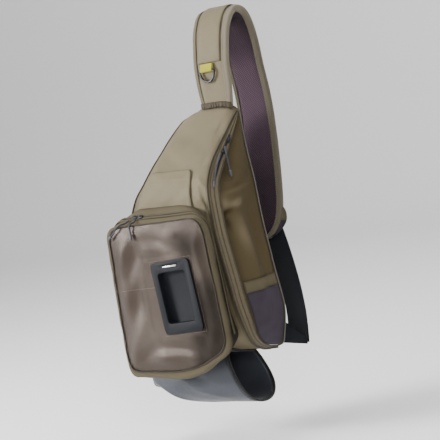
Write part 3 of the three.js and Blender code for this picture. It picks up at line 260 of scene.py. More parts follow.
# Folds of each cloth: centre (u across, t along), lean of t over u, spread in t and u, rise in mm
FRONT_FOLDS = Table(
    "u t lean long wide rise",
    (0.22, 0.26, 0.16, 0.022, 0.3, -2.2),
    (0.1, 0.3, 0.2, 0.018, 0.2, 2.0),
    (0.75, 0.31, -0.12, 0.02, 0.25, -2.2),
    (0.62, 0.25, 0.1, 0.03, 0.3, 1.6),
    (0.3, 0.19, 0.1, 0.03, 0.3, -1.8),
    (0.93, 0.38, 0.3, 0.02, 0.07, 3.0),
    (0.95, 0.41, 0.5, 0.016, 0.07, -3.0),
    (0.9, 0.44, 0.2, 0.014, 0.06, 2.4),
)
SIDE_FOLDS = Table(
    "u t lean long wide rise",
    (0.28, 0.462, -0.03, 0.013, 0.13, 6.5),
    (0.1, 0.484, -0.04, 0.011, 0.15, -6.5),
    (0.22, 0.495, 0.03, 0.02, 0.12, 4.0),
    (0.36, 0.58, 0.3, 0.1, 0.15, 6.5),
    (0.68, 0.58, 0.3, 0.12, 0.13, -5.5),
    (0.42, 0.39, -0.06, 0.024, 0.22, -3.4),
    (0.66, 0.37, -0.08, 0.026, 0.16, 3.0),
    (0.2, 0.355, -0.02, 0.018, 0.16, 2.6),
    (0.5, 0.31, 0.05, 0.04, 0.14, 2.4),
    (0.55, 0.68, 0.06, 0.014, 0.34, -2.0),
    (0.5, 0.8, 0.2, 0.04, 0.34, 1.2),
)

# Painted highlights and painted shade on the side's and front's cloth, in the same columns; rise is the
# darkening, below 0 a painted highlight
SIDE_PAINTED_LIGHT = Table(
    "u t lean long wide rise",
    (0.3, 0.464, -0.03, 0.01, 0.13, -1.7),
    (0.07, 0.458, 0.0, 0.018, 0.09, -1.0),
    (0.1, 0.483, -0.05, 0.006, 0.12, 0.9),
    (0.04, 0.507, 0.1, 0.016, 0.07, 0.6),
    (0.3, 0.545, 0.1, 0.042, 0.12, -0.95),
    (0.35, 0.42, -0.03, 0.012, 0.35, -0.5),
    (0.1, 0.3, 0.0, 0.05, 0.14, 0.4),
    (0.75, 0.4, 0.0, 0.16, 0.25, 0.15),
)
FRONT_PAINTED_LIGHT = Table(
    "u t lean long wide rise",
    (0.94, 0.445, 0.75, 0.012, 0.05, 0.95),
    (0.9, 0.415, 0.6, 0.014, 0.05, -0.25),
    (0.93, 0.475, -0.5, 0.007, 0.05, 0.55),
    (0.99, 0.64, 0.0, 0.13, 0.035, 0.85),
)

# Painted highlights and painted shade on the pocket's face: centre and spread in mm, and the darkening,
# below 0 a painted highlight
FACE_PAINTED_LIGHT = Table(
    "x z wide high dark",
    (4.0, -216.0, 30.0, 28.0, 0.95),
    (-42.0, -208.0, 7.0, 16.0, -0.9),
    (-34.0, -229.0, 15.0, 7.0, -1.1),
    (-74.0, -208.0, 13.0, 18.0, 0.35),
    (-20.0, -196.0, 16.0, 8.0, 0.4),
    (17.0, -256.0, 6.0, 16.0, -0.35),
    (-110.0, -366.0, 50.0, 32.0, -0.7),
    (-150.0, -240.0, 14.0, 40.0, 0.25),
    (-100.0, -222.0, 14.0, 12.0, -0.15),
)

# Folds of the pocket's face: centre x and z, direction in degrees, spread along and across, rise
FACE_FOLDS = Table(
    "x z turn long wide rise",
    (-140, -224, 60, 34, 10, 3.2),
    (-118, -236, 58, 40, 13, -4.4),
    (-96, -216, 112, 22, 9, 4.0),
    (-86, -226, 48, 20, 7, -3.6),
    (-72, -216, 40, 26, 8, 3.4),
    (-58, -204, 160, 30, 9, -3.4),
    (-8, -206, 165, 44, 14, 3.0),
    (-150, -286, 86, 60, 14, 3.4),
    (-118, -292, 74, 60, 15, -4.2),
    (-92, -318, 92, 66, 11, 3.6),
    (-140, -372, 62, 44, 15, 4.0),
    (-112, -392, 34, 44, 12, -3.6),
    (-76, -402, 6, 48, 12, 4.4),
    (-36, -390, -12, 46, 11, -4.0),
    (-14, -412, -26, 38, 10, 3.2),
    (20, -232, 80, 34, 9, 3.6),
    (28, -284, 96, 44, 10, 4.6),
    (13, -330, 86, 46, 8, -3.8),
    (26, -372, 74, 34, 11, 3.4),
)


def steps(count: int, low: float = 0.0, high: float = 1.0) -> Array:
    """Evenly spaced values, both ends among them."""
    return np.linspace(low, high, count + 1)


def mix(a: Array, b: Array, share: Array) -> Array:
    """Straight blend of two values."""
    return a + (b - a) * share


def within(value: Array) -> Array:
    """A value held between 0 and 1."""
    return np.clip(value, 0, 1)


def point(x: Array, y: Array, z: Array) -> Array:
    """Points from three coordinates of any matching shapes."""
    return np.stack(np.broadcast_arrays(x, y, z), axis=-1).astype(float)


def bell(value: Array, spread: Array) -> Array:
    """Smooth bump of height 1 round zero."""
    return np.exp(-((value / spread) ** 2))


def crumple(points: Array, size: float, seed: int, waves: int = 7) -> Array:
    """Even, seeded unevenness of cloth.

    Args:
        points: places in mm.
        size: rough wave length in mm.
        seed: fixes the pattern.
        waves: how many waves are added.

    Returns:
        Heights from about -1 to 1.
    """
    rng = np.random.default_rng(seed)
    total = np.zeros(points.shape[:-1])
    for _ in range(waves):
        way = rng.normal(size=3)
        way *= TURN / (size * rng.uniform(0.6, 1.6) * np.linalg.norm(way))
        total += np.sin(points @ way + rng.uniform(0, TURN))
    return total / waves**0.5


def folds(table: Table, u: Array, t: Array) -> Array:
    """Height of a table's folds at places u, t of a panel."""
    total = np.zeros(np.broadcast(u, t).shape)
    for fu, ft, lean, long, wide, rise in table.rows:
        along = t - ft - lean * (u - fu)
        total = total + rise * bell(along, long) * bell(u - fu, wide)
    return total


def along_rows(stations: Array, count: int) -> Array:
    """Smooth rows through stations.

    Args:
        stations: shape (stations, points, 3).
        count: rows wanted.

    Returns:
        Shape (count, points, 3).
    """
    return spline(stations, np.linspace(0, len(stations) - 1, count))


def heading(line: Callable[[Array], tuple[Array, Array]], t: Array, step: float) -> tuple[Array, Array]:
    """Unit direction of a line at a station, in y and z.

    Args:
        line: gives y and z at a station.
        t: the station.
        step: half the span that the direction is taken over.

    Returns:
        The direction's y and z.
    """
    (y1, z1), (y0, z0) = line(t + step), line(t - step)
    long = np.hypot(y1 - y0, z1 - z0)
    return (y1 - y0) / long, (z1 - z0) / long


# Shapes


@dataclass
class Shell:
    """Surfaces of the main body: front, zip strip and both sides."""

    high: float = 427
    wide: float = 237
    deep: float = 131
    cloth: float = 2.4
    pad: float = 10
    crown: float = 12
    swell: float = 7
    flare: float = 4
    strip_deep: float = 21
    strip_wide: float = 8.5
    gap: float = 0.4

    def path(self, t: Array) -> tuple[Array, Array]:
        """Y and z of the front's own line at a station."""
        return -self.deep * BODY("deep", t), -self.high * BODY("down", t)

    def left(self, t: Array) -> Array:
        """X of the left seam."""
        return -self.wide * BODY("left", t)

    def right(self, t: Array) -> Array:
        """X of the right seam."""
        return self.wide * BODY("right", t)

    def outward(self, t: Array) -> tuple[Array, Array]:
        """Direction out of the front at a station, in y and z."""
        dy, dz = heading(self.path, t, 0.004)
        return dz, -dy

    def front(self, u: Array, t: Array, lift: Array) -> Array:
        """Front surface; u across from the left seam, t down, lift outwards in mm."""
        swell = self.crown * BODY("crown", t) * (1 - (2 * u - 1) ** 4) + lift
        (oy, oz), (y, z) = self.outward(t), self.path(t)
        return point(mix(self.left(t), self.right(t), u), y + oy * swell, z + oz * swell)

    def beside(self, t: Array, side: Array, into: Array) -> Array:
        """Point past the right seam by side and inwards from it by into."""
        (oy, oz), (y, z) = self.outward(t), self.path(t)
        return point(self.right(t) + side, y - oy * into, z - oz * into)

    def strip(self, u: Array, t: Array, lift: Array) -> Array:
        """Zip strip between the front seam and the right side."""
        band = BODY("band", t)
        long = math.hypot(self.strip_wide, self.strip_deep)
        side = self.gap + (self.strip_wide - self.gap) * band * u
        into = self.strip_deep * band * u
        return self.beside(t, side + lift * self.strip_deep / long, into - lift * self.strip_wide / long)

    def side_right(self, u: Array, t: Array, lift: Array) -> Array:
        """Right side, from the zip strip to the back panel."""
        band = BODY("band", t)
        edge = self.beside(t, self.strip_wide * band, self.strip_deep * band + 3 * self.gap)
        fade = np.minimum(1, 5 * (t - SIDE_START)) * np.minimum(1, 5 * (SIDE_END - t))
        x = mix(edge[..., 0], self.wide * BODY("back", t), u) + np.sin(math.pi * u) * self.swell * fade
        return point(x + lift, mix(edge[..., 1], -self.pad - self.gap, u), edge[..., 2])

    def side_left(self, u: Array, t: Array, lift: Array) -> Array:
        """Left side, from the front panel to the back panel."""
        into = self.cloth + 2 * self.gap
        (oy, oz), (y, z) = self.outward(t), self.path(t)
        swell = np.sin(math.pi * u) * self.swell * 0.5
        x = self.left(t) - self.flare * u - swell - lift
        return point(x, mix(y - oy * into, -self.pad - self.gap, u), z - oz * into)

    def station(self, z: Array, low: float = SIDE_START, high: float = SIDE_END) -> Array:
        """Station whose own line passes a height."""
        ts = steps(900, low, high)
        return np.interp(-np.asarray(z, float) / self.high, BODY("down", ts), ts)

    def front_y(self, x: Array, z: Array) -> Array:
        """Y of the front surface in front of x, z."""
        t = self.station(z, 3 * SIDE_START, 1 - 3 * SIDE_START)
        u = within((x - self.left(t)) / (self.right(t) - self.left(t)))
        return self.front(u, t, 0)[..., 1]

    def bottom_z(self, y: Array) -> Array:
        """Height of the underside at a depth."""
        ts = steps(400, 1 - 5 * SIDE_START, 1)
        ys, zs = self.path(ts)
        return np.interp(y, ys, zs)


@dataclass
class PocketForm:
    """Outlines and surfaces of the zipped pocket."""

    shell: Shell
    wide: float = 230
    high: float = 272
    deep: float = 40
    cloth: float = 2.4
    crown: float = 4.5
    x: float = -62
    z: float = -306
    roll: float = 10
    swell: float = 1.5
    clear: float = 3.2
    arc: int = 11
    side: int = 7
    dock_x: float = -33
    dock_z: float = -298
    dock_turn: float = math.radians(-4)
    hole: tuple[float, float] = (34.2, 48.2)
    flange_share: float = 0.3

    def loop(self, kind: str) -> Array:
        """Rounded outline of one kind of corner, clockwise from the front, as x and z."""
        count = len(POCKET.rows)
        share = np.arange(count) / (count - 1)
        centre = point(self.x + self.wide * POCKET(kind + "x", share),
                       self.z + self.high * POCKET(kind + "z", share), 0)[:, :2]
        radius = self.wide * POCKET(kind + "r", share)
        ends = []
        for i in range(count):
            pair = []
            for other in (centre[i - 1], centre[(i + 1) % count]):
                way = other - centre[i]
                long = np.linalg.norm(way)
                pair.append(centre[i] + way / long * min(radius[i], long * 0.46))
            ends.append(pair)
        points: list[Array] = []
        for i in range(count):
            start, end = ends[i]
            for s in steps(self.arc):
                points.append(start * (1 - s) ** 2 + 2 * centre[i] * s * (1 - s) + end * s**2)
            following = ends[(i + 1) % count][0]
            points += [mix(end, following, s) for s in steps(self.side)[1:-1]]
        return np.array(points)

    @staticmethod
    def inset(loop: Array, distance: Array) -> Array:
        """Outline moved inwards."""
        along = np.roll(loop, -1, 0) - np.roll(loop, 1, 0)
        along /= np.linalg.norm(along, axis=1)[:, None]
        return loop + np.stack([along[:, 1], -along[:, 0]], 1) * np.reshape(distance, (-1, 1))

    @property
    def front(self) -> float:
        """Y of the pocket's front plane."""
        return -self.shell.deep - self.deep

    def ring(self, loop: Array, y: Array) -> Array:
        """Outline at a depth, as points."""
        return point(loop[:, 0], y, loop[:, 1])

    def wall(self, share: float, lift: Array) -> Array:
        """Outline of the pocket's wall, 0 at the body and 1 at the rim, moved outwards by lift."""
        back, rim = self.loop("b"), self.loop("r")
        seam = self.shell.front_y(back[:, 0], back[:, 1]) - self.clear
        loop = self.inset(mix(back, rim, share), -lift - self.swell * math.sin(math.pi * share))
        return self.ring(loop, mix(seam, self.front + self.roll, share))

    def on_dock(self, x: Array, z: Array) -> Array:
        """Point of the dock's own turned frame, as x and z."""
        c, s = math.cos(-self.dock_turn), math.sin(-self.dock_turn)
        return np.stack([self.dock_x + x * c - z * s, self.dock_z + x * s + z * c], -1)

    def hole_loop(self) -> Array:
        """Outline of the dock's hole, a point towards each point of the face's seam."""
        way = self.loop("f") - np.array([self.dock_x, self.dock_z])
        c, s = math.cos(self.dock_turn), math.sin(self.dock_turn)
        local = np.stack([way[:, 0] * c - way[:, 1] * s, way[:, 0] * s + way[:, 1] * c], -1)
        reach = np.max(np.abs(local) / np.array(self.hole), axis=1)
        return self.on_dock(local[:, 0] / reach, local[:, 1] / reach)

    def face(self, share: Array, lift: Array) -> Array:
        """Face cloth from the dock's hole (0) to its seam (1).

        Args:
            share: one value for each row.
            lift: depth behind the outer surface, mm.

        Returns:
            Shape (rows, points, 3).
        """
        hole, edge = self.hole_loop(), self.inset(self.loop("f"), self.shell.gap)
        s = np.asarray(share)[:, None]
        x = mix(hole[:, 0], edge[:, 0], s)
        z = mix(hole[:, 1], edge[:, 1], s)
        free = within((s - self.flange_share) / (1 - self.flange_share))
        fade = np.sin(math.pi * free) ** 0.6
        wave = 0.0
        for turn, long, rise, phase in ((35, 62, 0.9, 0.4), (118, 88, 0.8, 2.1)):
            a = math.radians(turn)
            wave = wave + rise * np.sin(TURN * (x * math.cos(a) + z * math.sin(a)) / long + phase)
        for fx, fz, turn, long, wide, rise in FACE_FOLDS.rows:
            a = math.radians(turn)
            dx, dz = x - fx, z - fz
            down = dx * math.cos(a) + dz * math.sin(a)
            wave = wave + rise * bell(down, long) * bell(-dx * math.sin(a) + dz * math.cos(a), wide)
        index = np.arange(len(edge))[None, :]
        pucker = 0.35 * np.sin(index * 1.9) * bell(1 - s, 0.09) * (s < 1)
        lean = np.clip((x - self.dock_x) / 80, -1, 1)
        crown = self.crown * (1 - s**3) - 2.2 * lean * np.sin(math.pi * free)
        return point(x, self.front + lift - crown - wave * fade - pucker, z)


@dataclass
class StrapForm:
    """Middle surface of the shoulder strap."""

    shell: Shell
    high: float = 164
    fall: float = 240
    back: float = 80
    wide: float = 80
    thick: float = 11
    pad_swell: float = 1.6
    foot_blend: float = 30
    thinning: float = 0.6

    def line(self, t: Array) -> tuple[Array, Array]:
        """Y and z of the middle line."""
        return self.back * STRAP("back", t), self.high * STRAP("up", t) - self.fall * STRAP("fall", t)

    def half(self, t: Array) -> Array:
        """Half width."""
        return self.wide * STRAP("wide", t) / 2

    def body(self, x: Array, t: Array) -> Array:
        """Half thickness at x from the middle line: the padding thins towards both edges."""
        return self.thick / 2 * (1 - self.thinning * np.minimum(1, np.abs(x) / self.half(t)) ** 4)

    def at(self, x: Array, n: Array, t: Array) -> Array:
        """Point x from the middle line and n outwards from the middle surface."""
        dy, dz = heading(self.line, t, 0.002)
        side = self.wide * STRAP("side", t) + x
        y, z = self.line(t)
        z = z + dy * n
        left, right = self.shell.left(SIDE_START), self.shell.right(SIDE_START)
        u = within((side - left) / (right - left))
        dip = self.shell.crown * (2 * u - 1) ** 4 * np.maximum(0, 1 - z / self.foot_blend)
        return point(side, y - dz * n, z - np.where(np.asarray(t) < 0.2, dip, 0))

    def station(self, z: float, falling: bool) -> float:
        """Share of the strap at a height, on the rising front or on the falling back."""
        ts = steps(800, APEX, 1) if falling else steps(400, 0, APEX)
        zs = self.line(ts)[1]
        return float(np.interp(-z, -zs, ts) if falling else np.interp(z, zs, ts))

    def shoulder(self) -> Array:
        """The frame's origin: the underside of the strap's highest point."""
        return self.at(0, -self.thick / 2 - self.pad_swell, APEX)


SHELL = Shell()
POUCH = PocketForm(SHELL)
LOOP = StrapForm(SHELL)
ORIGIN = LOOP.shoulder()


# Meshes


def to_frame(points: Array) -> Array:
    """Moves points in mm into the frame, in metres."""
    return (np.reshape(points, (-1, 3)) - ORIGIN) * MM


def store_lengths(data: bpy.types.Mesh, places: Array) -> None:
    """Stores a mesh's lengths across and along the cloth, in metres for each vertex."""
    corner = np.empty(len(data.loops), np.int32)
    data.loops.foreach_get("vertex_index", corner)
    layer = data.uv_layers.get("cloth") or data.uv_layers.new(name="cloth")
    layer.data.foreach_set("uv", places[corner].astype(np.float32).ravel())


def mesh_object(name: str, points: Array, faces: Sequence[Sequence[int]], material: bpy.types.Material,
                uv: Array | None = None, seam: Array | None = None,
                tone: Array | None = None) -> bpy.types.Object:
    """Makes a smooth closed mesh that faces outwards.

    Args:
        name: the piece's name.
        points: vertices in mm.
        faces: vertex numbers.
        material: its finish.
        uv: lengths across and along for each vertex, in metres.
        seam: nearness to a seam for each vertex, 0 to 1.
        tone: painted shade for each vertex, below 0 where it is a painted highlight.

    Returns:
        The linked object.
    """
    data = bpy.data.meshes.new(name)
    data.from_pydata([tuple(p) for p in to_frame(points)], [], [tuple(f) for f in faces])
    store_lengths(data, np.zeros((len(points), 2)) if uv is None else uv)
    for key, given in (("seam", seam), ("tone", tone)):
        store = data.attributes.new(key, "FLOAT", "POINT")
        values = np.zeros(len(points)) if given is None else given
        store.data.foreach_set("value", values.astype(np.float32))
    work = bmesh.new()
    work.from_mesh(data)
    bmesh.ops.remove_doubles(work, verts=work.verts, dist=1e-6)
    if work.calc_volume(signed=True) < 0:
        bmesh.ops.reverse_faces(work, faces=work.faces)
    work.to_mesh(data)
    work.free()
    data.shade_smooth()
    data.materials.append(material)
    return linked(name, data)


def grid_faces(rows: int, cols: int, wrap: bool) -> list[list[int]]:
    """Quads of a grid of vertices, closed across if wrapped."""
    spans = cols if wrap else cols - 1
    return [[r * cols + c, r * cols + (c + 1) % cols, (r + 1) * cols + (c + 1) % cols, (r + 1) * cols + c]
            for r in range(rows - 1) for c in range(spans)]


def lengths(grid: Array) -> Array:
    """Lengths across and along a grid of points, in metres, shape (rows, cols, 2)."""
    across = np.zeros(grid.shape[:2])
    along = np.zeros(grid.shape[:2])
    across[:, 1:] = np.cumsum(np.linalg.norm(np.diff(grid, axis=1), axis=2), axis=1)
    along[1:] = np.cumsum(np.linalg.norm(np.diff(grid, axis=0), axis=2), axis=0)
    across -= across[:, -1:] / 2
    return np.stack([across, along], -1) * MM


def cloth_piece(name: str, outer: Array, inner: Array, material: bpy.types.Material,
                wrap: bool = False, edge: float = 5.0, sewn: Array | None = None,
                tone: Array | None = None) -> bpy.types.Object:
    """Makes a wall of cloth between two grids of equal shape.

    Args:
        name: the piece's name.
        outer: outer points, shape (rows, cols, 3).
        inner: inner points.
        material: its finish.
        wrap: whether the last column joins the first.
        edge: reach of the seam's shading in mm.
        sewn: more seams, 0 to 1 for each point of the outer grid.
        tone: painted shade for each point of the outer grid, below 0 where it is a painted highlight.

    Returns:
        The object.
    """
    rows, cols = outer.shape[:2]
    size = rows * cols
    top = grid_faces(rows, cols, wrap)
    faces = top + [[size + i for i in reversed(face)] for face in top]
    spans = cols if wrap else cols - 1
    for c in range(spans):
        n = (c + 1) % cols
        faces.append([n, c, size + c, size + n])
        low = (rows - 1) * cols
        faces.append([low + c, low + n, size + low + n, size + low + c])
    if not wrap:
        for r in range(rows - 1):
            a, b = r * cols, (r + 1) * cols
            faces.append([a, b, size + b, size + a])
            faces.append([b + cols - 1, a + cols - 1, size + a + cols - 1, size + b + cols - 1])
    uv = lengths(outer)
    along = np.minimum(uv[..., 1], uv[-1:, :, 1] - uv[..., 1]) / MM
    near = bell(along, edge)
    if not wrap:
        half = uv[:, -1:, 0]
        near = np.maximum(near, bell((half - np.abs(uv[..., 0])) / MM, edge))
    if sewn is not None:
        near = np.maximum(near, sewn)
    dark = np.zeros((rows, cols)) if tone is None else np.broadcast_to(tone, (rows, cols))
    points = np.concatenate([outer.reshape(-1, 3), inner.reshape(-1, 3)])
    both = np.concatenate([uv.reshape(-1, 2)] * 2)
    return mesh_object(name, points, faces, material, both, np.tile(near.ravel(), 2),
                       np.tile(dark.ravel(), 2))


def tube(name: str, path: Array, radius: Array, material: bpy.types.Material, sides: int = 12,
         closed: bool = False) -> bpy.types.Object:
    """Makes a round cord along points.

    Args:
        name: the piece's name.
        path: centre points in mm.
        radius: one radius, or one for each point.
        material: its finish.
        sides: corners of its section.
        closed: whether it joins itself.

    Returns:
        The object.
    """
    count = len(path)
    if closed:
        tangent = np.roll(path, -1, 0) - np.roll(path, 1, 0)
    else:
        tangent = np.gradient(path, axis=0)
    tangent /= np.linalg.norm(tangent, axis=1)[:, None]
    side = np.cross(tangent[0], (0.3, 0.9, 0.2))
    frames = []
    for way in tangent:
        side = side - way * side.dot(way)
        side = side / np.linalg.norm(side)
        frames.append((side, np.cross(way, side)))
    if closed:
        twist = math.atan2(frames[0][0] @ frames[-1][1], frames[0][0] @ frames[-1][0])
    else:
        twist = 0.0
    radii = np.broadcast_to(radius, (count,))
    rings = []
    for i, (a, b) in enumerate(frames):
        turn = TURN * np.arange(sides) / sides + twist * i / count
        rings.append(path[i] + radii[i] * (np.cos(turn)[:, None] * a + np.sin(turn)[:, None] * b))
    grid = np.array(rings)
    faces = grid_faces(count, sides, True)
    points = grid.reshape(-1, 3)
    gap = np.linalg.norm(np.diff(path, axis=0), axis=1)
    along = np.concatenate([[0], np.cumsum(gap)])
    turn = np.tile(np.arange(sides) / sides, count)
    uv = np.stack([turn * TURN * float(np.mean(radii)), np.repeat(along, sides)], 1) * MM
    if closed:
        low = (count - 1) * sides
        faces += [[low + c, low + (c + 1) % sides, (c + 1) % sides, c] for c in range(sides)]
    else:
        points = np.concatenate([points, path[:1], path[-1:]])
        uv = np.concatenate([uv, uv[:1], uv[-1:]])
        hub = count * sides
        last = (count - 1) * sides
        faces += [[hub, (c + 1) % sides, c] for c in range(sides)]
        faces += [[hub + 1, last + c, last + (c + 1) % sides] for c in range(sides)]
    return mesh_object(name, points, faces, material, uv)


def smooth_path(points: Array, count: int) -> Array:
    """Smooth line through points."""
    return along_rows(np.asarray(points, float)[:, None, :], count)[:, 0, :]


def apply_modifiers(made: bpy.types.Object) -> bpy.types.Object:
    """Turns an object's evaluated shape into its plain mesh."""
    graph = bpy.context.evaluated_depsgraph_get()
    graph.update()
    plain = bpy.data.meshes.new_from_object(made.evaluated_get(graph), depsgraph=graph)
    made.modifiers.clear()
    made.data = plain
    plain.name = made.name
    return made


def copy_of(node: str, name: str, material: bpy.types.Material) -> bpy.types.Object:
    """Merged, quad-dominant copy of a CAD node."""
    work = bmesh.new()
    work.from_mesh(bpy.data.objects[node].data)
    bmesh.ops.remove_doubles(work, verts=work.verts, dist=2e-6)
    bmesh.ops.join_triangles(work, faces=work.faces, angle_face_threshold=math.radians(25),
                             angle_shape_threshold=math.radians(50))
    data = bpy.data.meshes.new(name)
    work.to_mesh(data)
    work.free()
    data.shade_smooth()
    data.materials.append(material)
    return linked(name, data)


def bevelled(node: str, name: str, material: bpy.types.Material, width: float,
             angle: float = 28.0) -> bpy.types.Object:
    """Copy of a hard CAD node with rounded edges.

    Args:
        node: the CAD node.
        name: the piece's name.
        material: its finish.
        width: width of the rounding in mm.
        angle: edges sharper than this are rounded, degrees.

    Returns:
        The object.
    """
    made = copy_of(node, name, material)
    bevel = made.modifiers.new("round", "BEVEL")
    bevel.width = width * MM
    bevel.segments = 3
    bevel.limit_method = "ANGLE"
    bevel.angle_limit = math.radians(angle)
    bevel.harden_normals = True
    return apply_modifiers(made)


def subdivided(made: bpy.types.Object, levels: int) -> bpy.types.Object:
    """Rounds a piece by subdivision."""
    smooth = made.modifiers.new("smooth", "SUBSURF")
    smooth.levels = smooth.render_levels = levels
    return apply_modifiers(made)


def stuffed(made: bpy.types.Object, voxel: float | None, pressure: float,
            cap: float) -> bpy.types.Object:
    """Fills a closed form like a cushion with a cloth simulation.

    Args:
        made: the closed form.
        voxel: size of its new faces in mm, or None where its own faces are even.
        pressure: push of the filling.
        cap: furthest that a point may move, mm.

    Returns:
        The same object with the filled shape.
    """
    if voxel:
        remesh = made.modifiers.new("even", "REMESH")
        remesh.mode = "VOXEL"
        remesh.voxel_size = voxel * MM
        apply_modifiers(made)
    rest = np.array([v.co for v in made.data.vertices])
    cloth = made.modifiers.new("fill", "CLOTH")
    cloth.settings.use_pressure = True
    cloth.settings.uniform_pressure_force = pressure
    cloth.settings.effector_weights.gravity = 0
    cloth.point_cache.frame_end = FILL_FRAMES
    for frame_number in range(1, FILL_FRAMES + 1):
        bpy.context.scene.frame_set(frame_number)
    apply_modifiers(made)
    bpy.context.scene.frame_set(1)
    moved = np.array([v.co for v in made.data.vertices]) - rest
    far = np.linalg.norm(moved, axis=1)
    moved *= np.minimum(1, cap * MM / np.maximum(far, 1e-9))[:, None]
    made.data.vertices.foreach_set("co", (rest + moved).ravel())
    made.data.update()
    subdivided(made, 1)
    made.data.shade_smooth()
    return made


def vertices_of(made: bpy.types.Object, key: str = "co") -> Array:
    """A vector of each vertex of a piece, its place unless another key is given."""
    flat = np.empty(len(made.data.vertices) * 3)
    made.data.vertices.foreach_get(key, flat)
    return flat.reshape(-1, 3)


def push(made: bpy.types.Object, height: Callable[[Array], Array]) -> None:
    """Moves vertices along their normals by a height in mm, given their places in mm."""
    places = vertices_of(made)
    rise = height(places / MM + ORIGIN) * MM
    moved = places + vertices_of(made, "normal") * rise[:, None]
    made.data.vertices.foreach_set("co", moved.ravel())
    made.data.update()


def lay_cloth(made: bpy.types.Object, places: Callable[[Array], Array]) -> None:
    """Lays the weave on a piece.

    Args:
        made: the piece.
        places: gives lengths across and along in mm for points in mm.
    """
    store_lengths(made.data, places(vertices_of(made) / MM + ORIGIN) * MM)


# Rows of stitches and zip teeth


class Beads(Enum):
    """What is set along a line: spacing, half length and radius in mm."""

    STITCH = (3.1, 1.15, 0.34)
    FINE_STITCH = (2.4, 0.9, 0.28)
    TEETH = (1.5, 0.5, 1.35)


class BeadRow:
    """Geometry nodes that set beads along curves."""

    def __init__(self) -> None:
        """Builds the tree once."""
        tree = bpy.data.node_groups.new("bead_row", "GeometryNodeTree")
        tree.interface.new_socket("Geometry", in_out="INPUT", socket_type="NodeSocketGeometry")
        self.keys = {}
        for name, kind in (("Spacing", "NodeSocketFloat"), ("Long", "NodeSocketFloat"),
                           ("Radius", "NodeSocketFloat"), ("Material", "NodeSocketMaterial")):
            self.keys[name] = tree.interface.new_socket(name, in_out="INPUT", socket_type=kind).identifier
        tree.interface.new_socket("Geometry", in_out="OUTPUT", socket_type="NodeSocketGeometry")
        given = tree.nodes.new("NodeGroupInput")
        spaced = tree.nodes.new("GeometryNodeResampleCurve")
        spaced.mode = "LENGTH"
        bead = tree.nodes.new("GeometryNodeMeshIcoSphere")
        bead.inputs["Radius"].default_value = 1.0
        bead.inputs["Subdivisions"].default_value = 1
        tangent = tree.nodes.new("GeometryNodeInputTangent")
        turn = tree.nodes.new("FunctionNodeAlignRotationToVector")
        turn.axis = "X"
        scale = tree.nodes.new("ShaderNodeCombineXYZ")
        place = tree.nodes.new("GeometryNodeInstanceOnPoints")
        real = tree.nodes.new("GeometryNodeRealizeInstances")
        dress = tree.nodes.new("GeometryNodeSetMaterial")
        out = tree.nodes.new("NodeGroupOutput")
        for source, output, target, key in (
            (given, "Geometry", spaced, "Curve"), (given, "Spacing", spaced, "Length"),
            (given, "Long", scale, "X"), (given, "Radius", scale, "Y"), (given, "Radius", scale, "Z"),
            (spaced, "Curve", place, "Points"), (bead, "Mesh", place, "Instance"),
            (tangent, "Tangent", turn, "Vector"), (turn, "Rotation", place, "Rotation"),
            (scale, "Vector", place, "Scale"), (place, "Instances", real, "Geometry"),
            (real, "Geometry", dress, "Geometry"), (given, "Material", dress, "Material"),
            (dress, "Geometry", out, "Geometry"),
        ):
            tree.links.new(source.outputs[output], target.inputs[key])
        self.tree = tree

    def run(self, name: str, lines: Sequence[Array], beads: Beads,
            material: bpy.types.Material) -> bpy.types.Object:
        """Sets beads along lines.

        Args:
            name: the piece's name.
            lines: each a row of points in mm.
            beads: what is set.
            material: its finish.

        Returns:
            One plain mesh object.
        """
        curve = bpy.data.curves.new(name, "CURVE")
        curve.dimensions = "3D"
        for line in lines:
            spline = curve.splines.new("POLY")
            spline.points.add(len(line) - 1)
            flat = np.concatenate([to_frame(line), np.ones((len(line), 1))], axis=1)
            spline.points.foreach_set("co", flat.ravel())
        source = linked(name + "_line", curve)
        node = source.modifiers.new("beads", "NODES")
        node.node_group = self.tree
        for key, value in zip(("Spacing", "Long", "Radius"), beads.value):
            node[self.keys[key]] = value * MM
        node[self.keys["Material"]] = material
        graph = bpy.context.evaluated_depsgraph_get()
        graph.update()
        data = bpy.data.meshes.new_from_object(source.evaluated_get(graph), depsgraph=graph)
        data.name = name
        data.shade_smooth()
        made = linked(name, data)
        bpy.data.objects.remove(source)
        return made


# Finishes


class Value:
    """A shader socket that takes part in sums and products."""

    def __init__(self, net: "Net", socket: bpy.types.NodeSocket) -> None:
        """Wraps a socket of a net."""
        self.net, self.socket = net, socket

    def _do(self, operation: str, *others: "Value | float") -> "Value":
        """Adds one Math node."""
        return self.net.add("ShaderNodeMath", {"operation": operation}, self, *others)

    def __add__(self, other: "Value | float") -> "Value":
        """Sum."""
        return self._do("ADD", other)

    def __sub__(self, other: "Value | float") -> "Value":
        """Difference."""
        return self._do("SUBTRACT", other)

    def __rsub__(self, other: float) -> "Value":
        """Difference from the right."""
        return self.net.add("ShaderNodeMath", {"operation": "SUBTRACT"}, other, self)

    def __mul__(self, other: "Value | float") -> "Value":
        """Product."""
        return self._do("MULTIPLY", other)

    __radd__, __rmul__ = __add__, __mul__

    def sine(self) -> "Value":
        """Sine."""
        return self._do("SINE")

    def size(self) -> "Value":
        """Value without its sign."""
        return self._do("ABSOLUTE")

    def power(self, exponent: float) -> "Value":
        """Power."""
        return self._do("POWER", exponent)

    def limited(self) -> "Value":
        """Kept between 0 and 1."""
        return self.net.add("ShaderNodeClamp", {}, self)


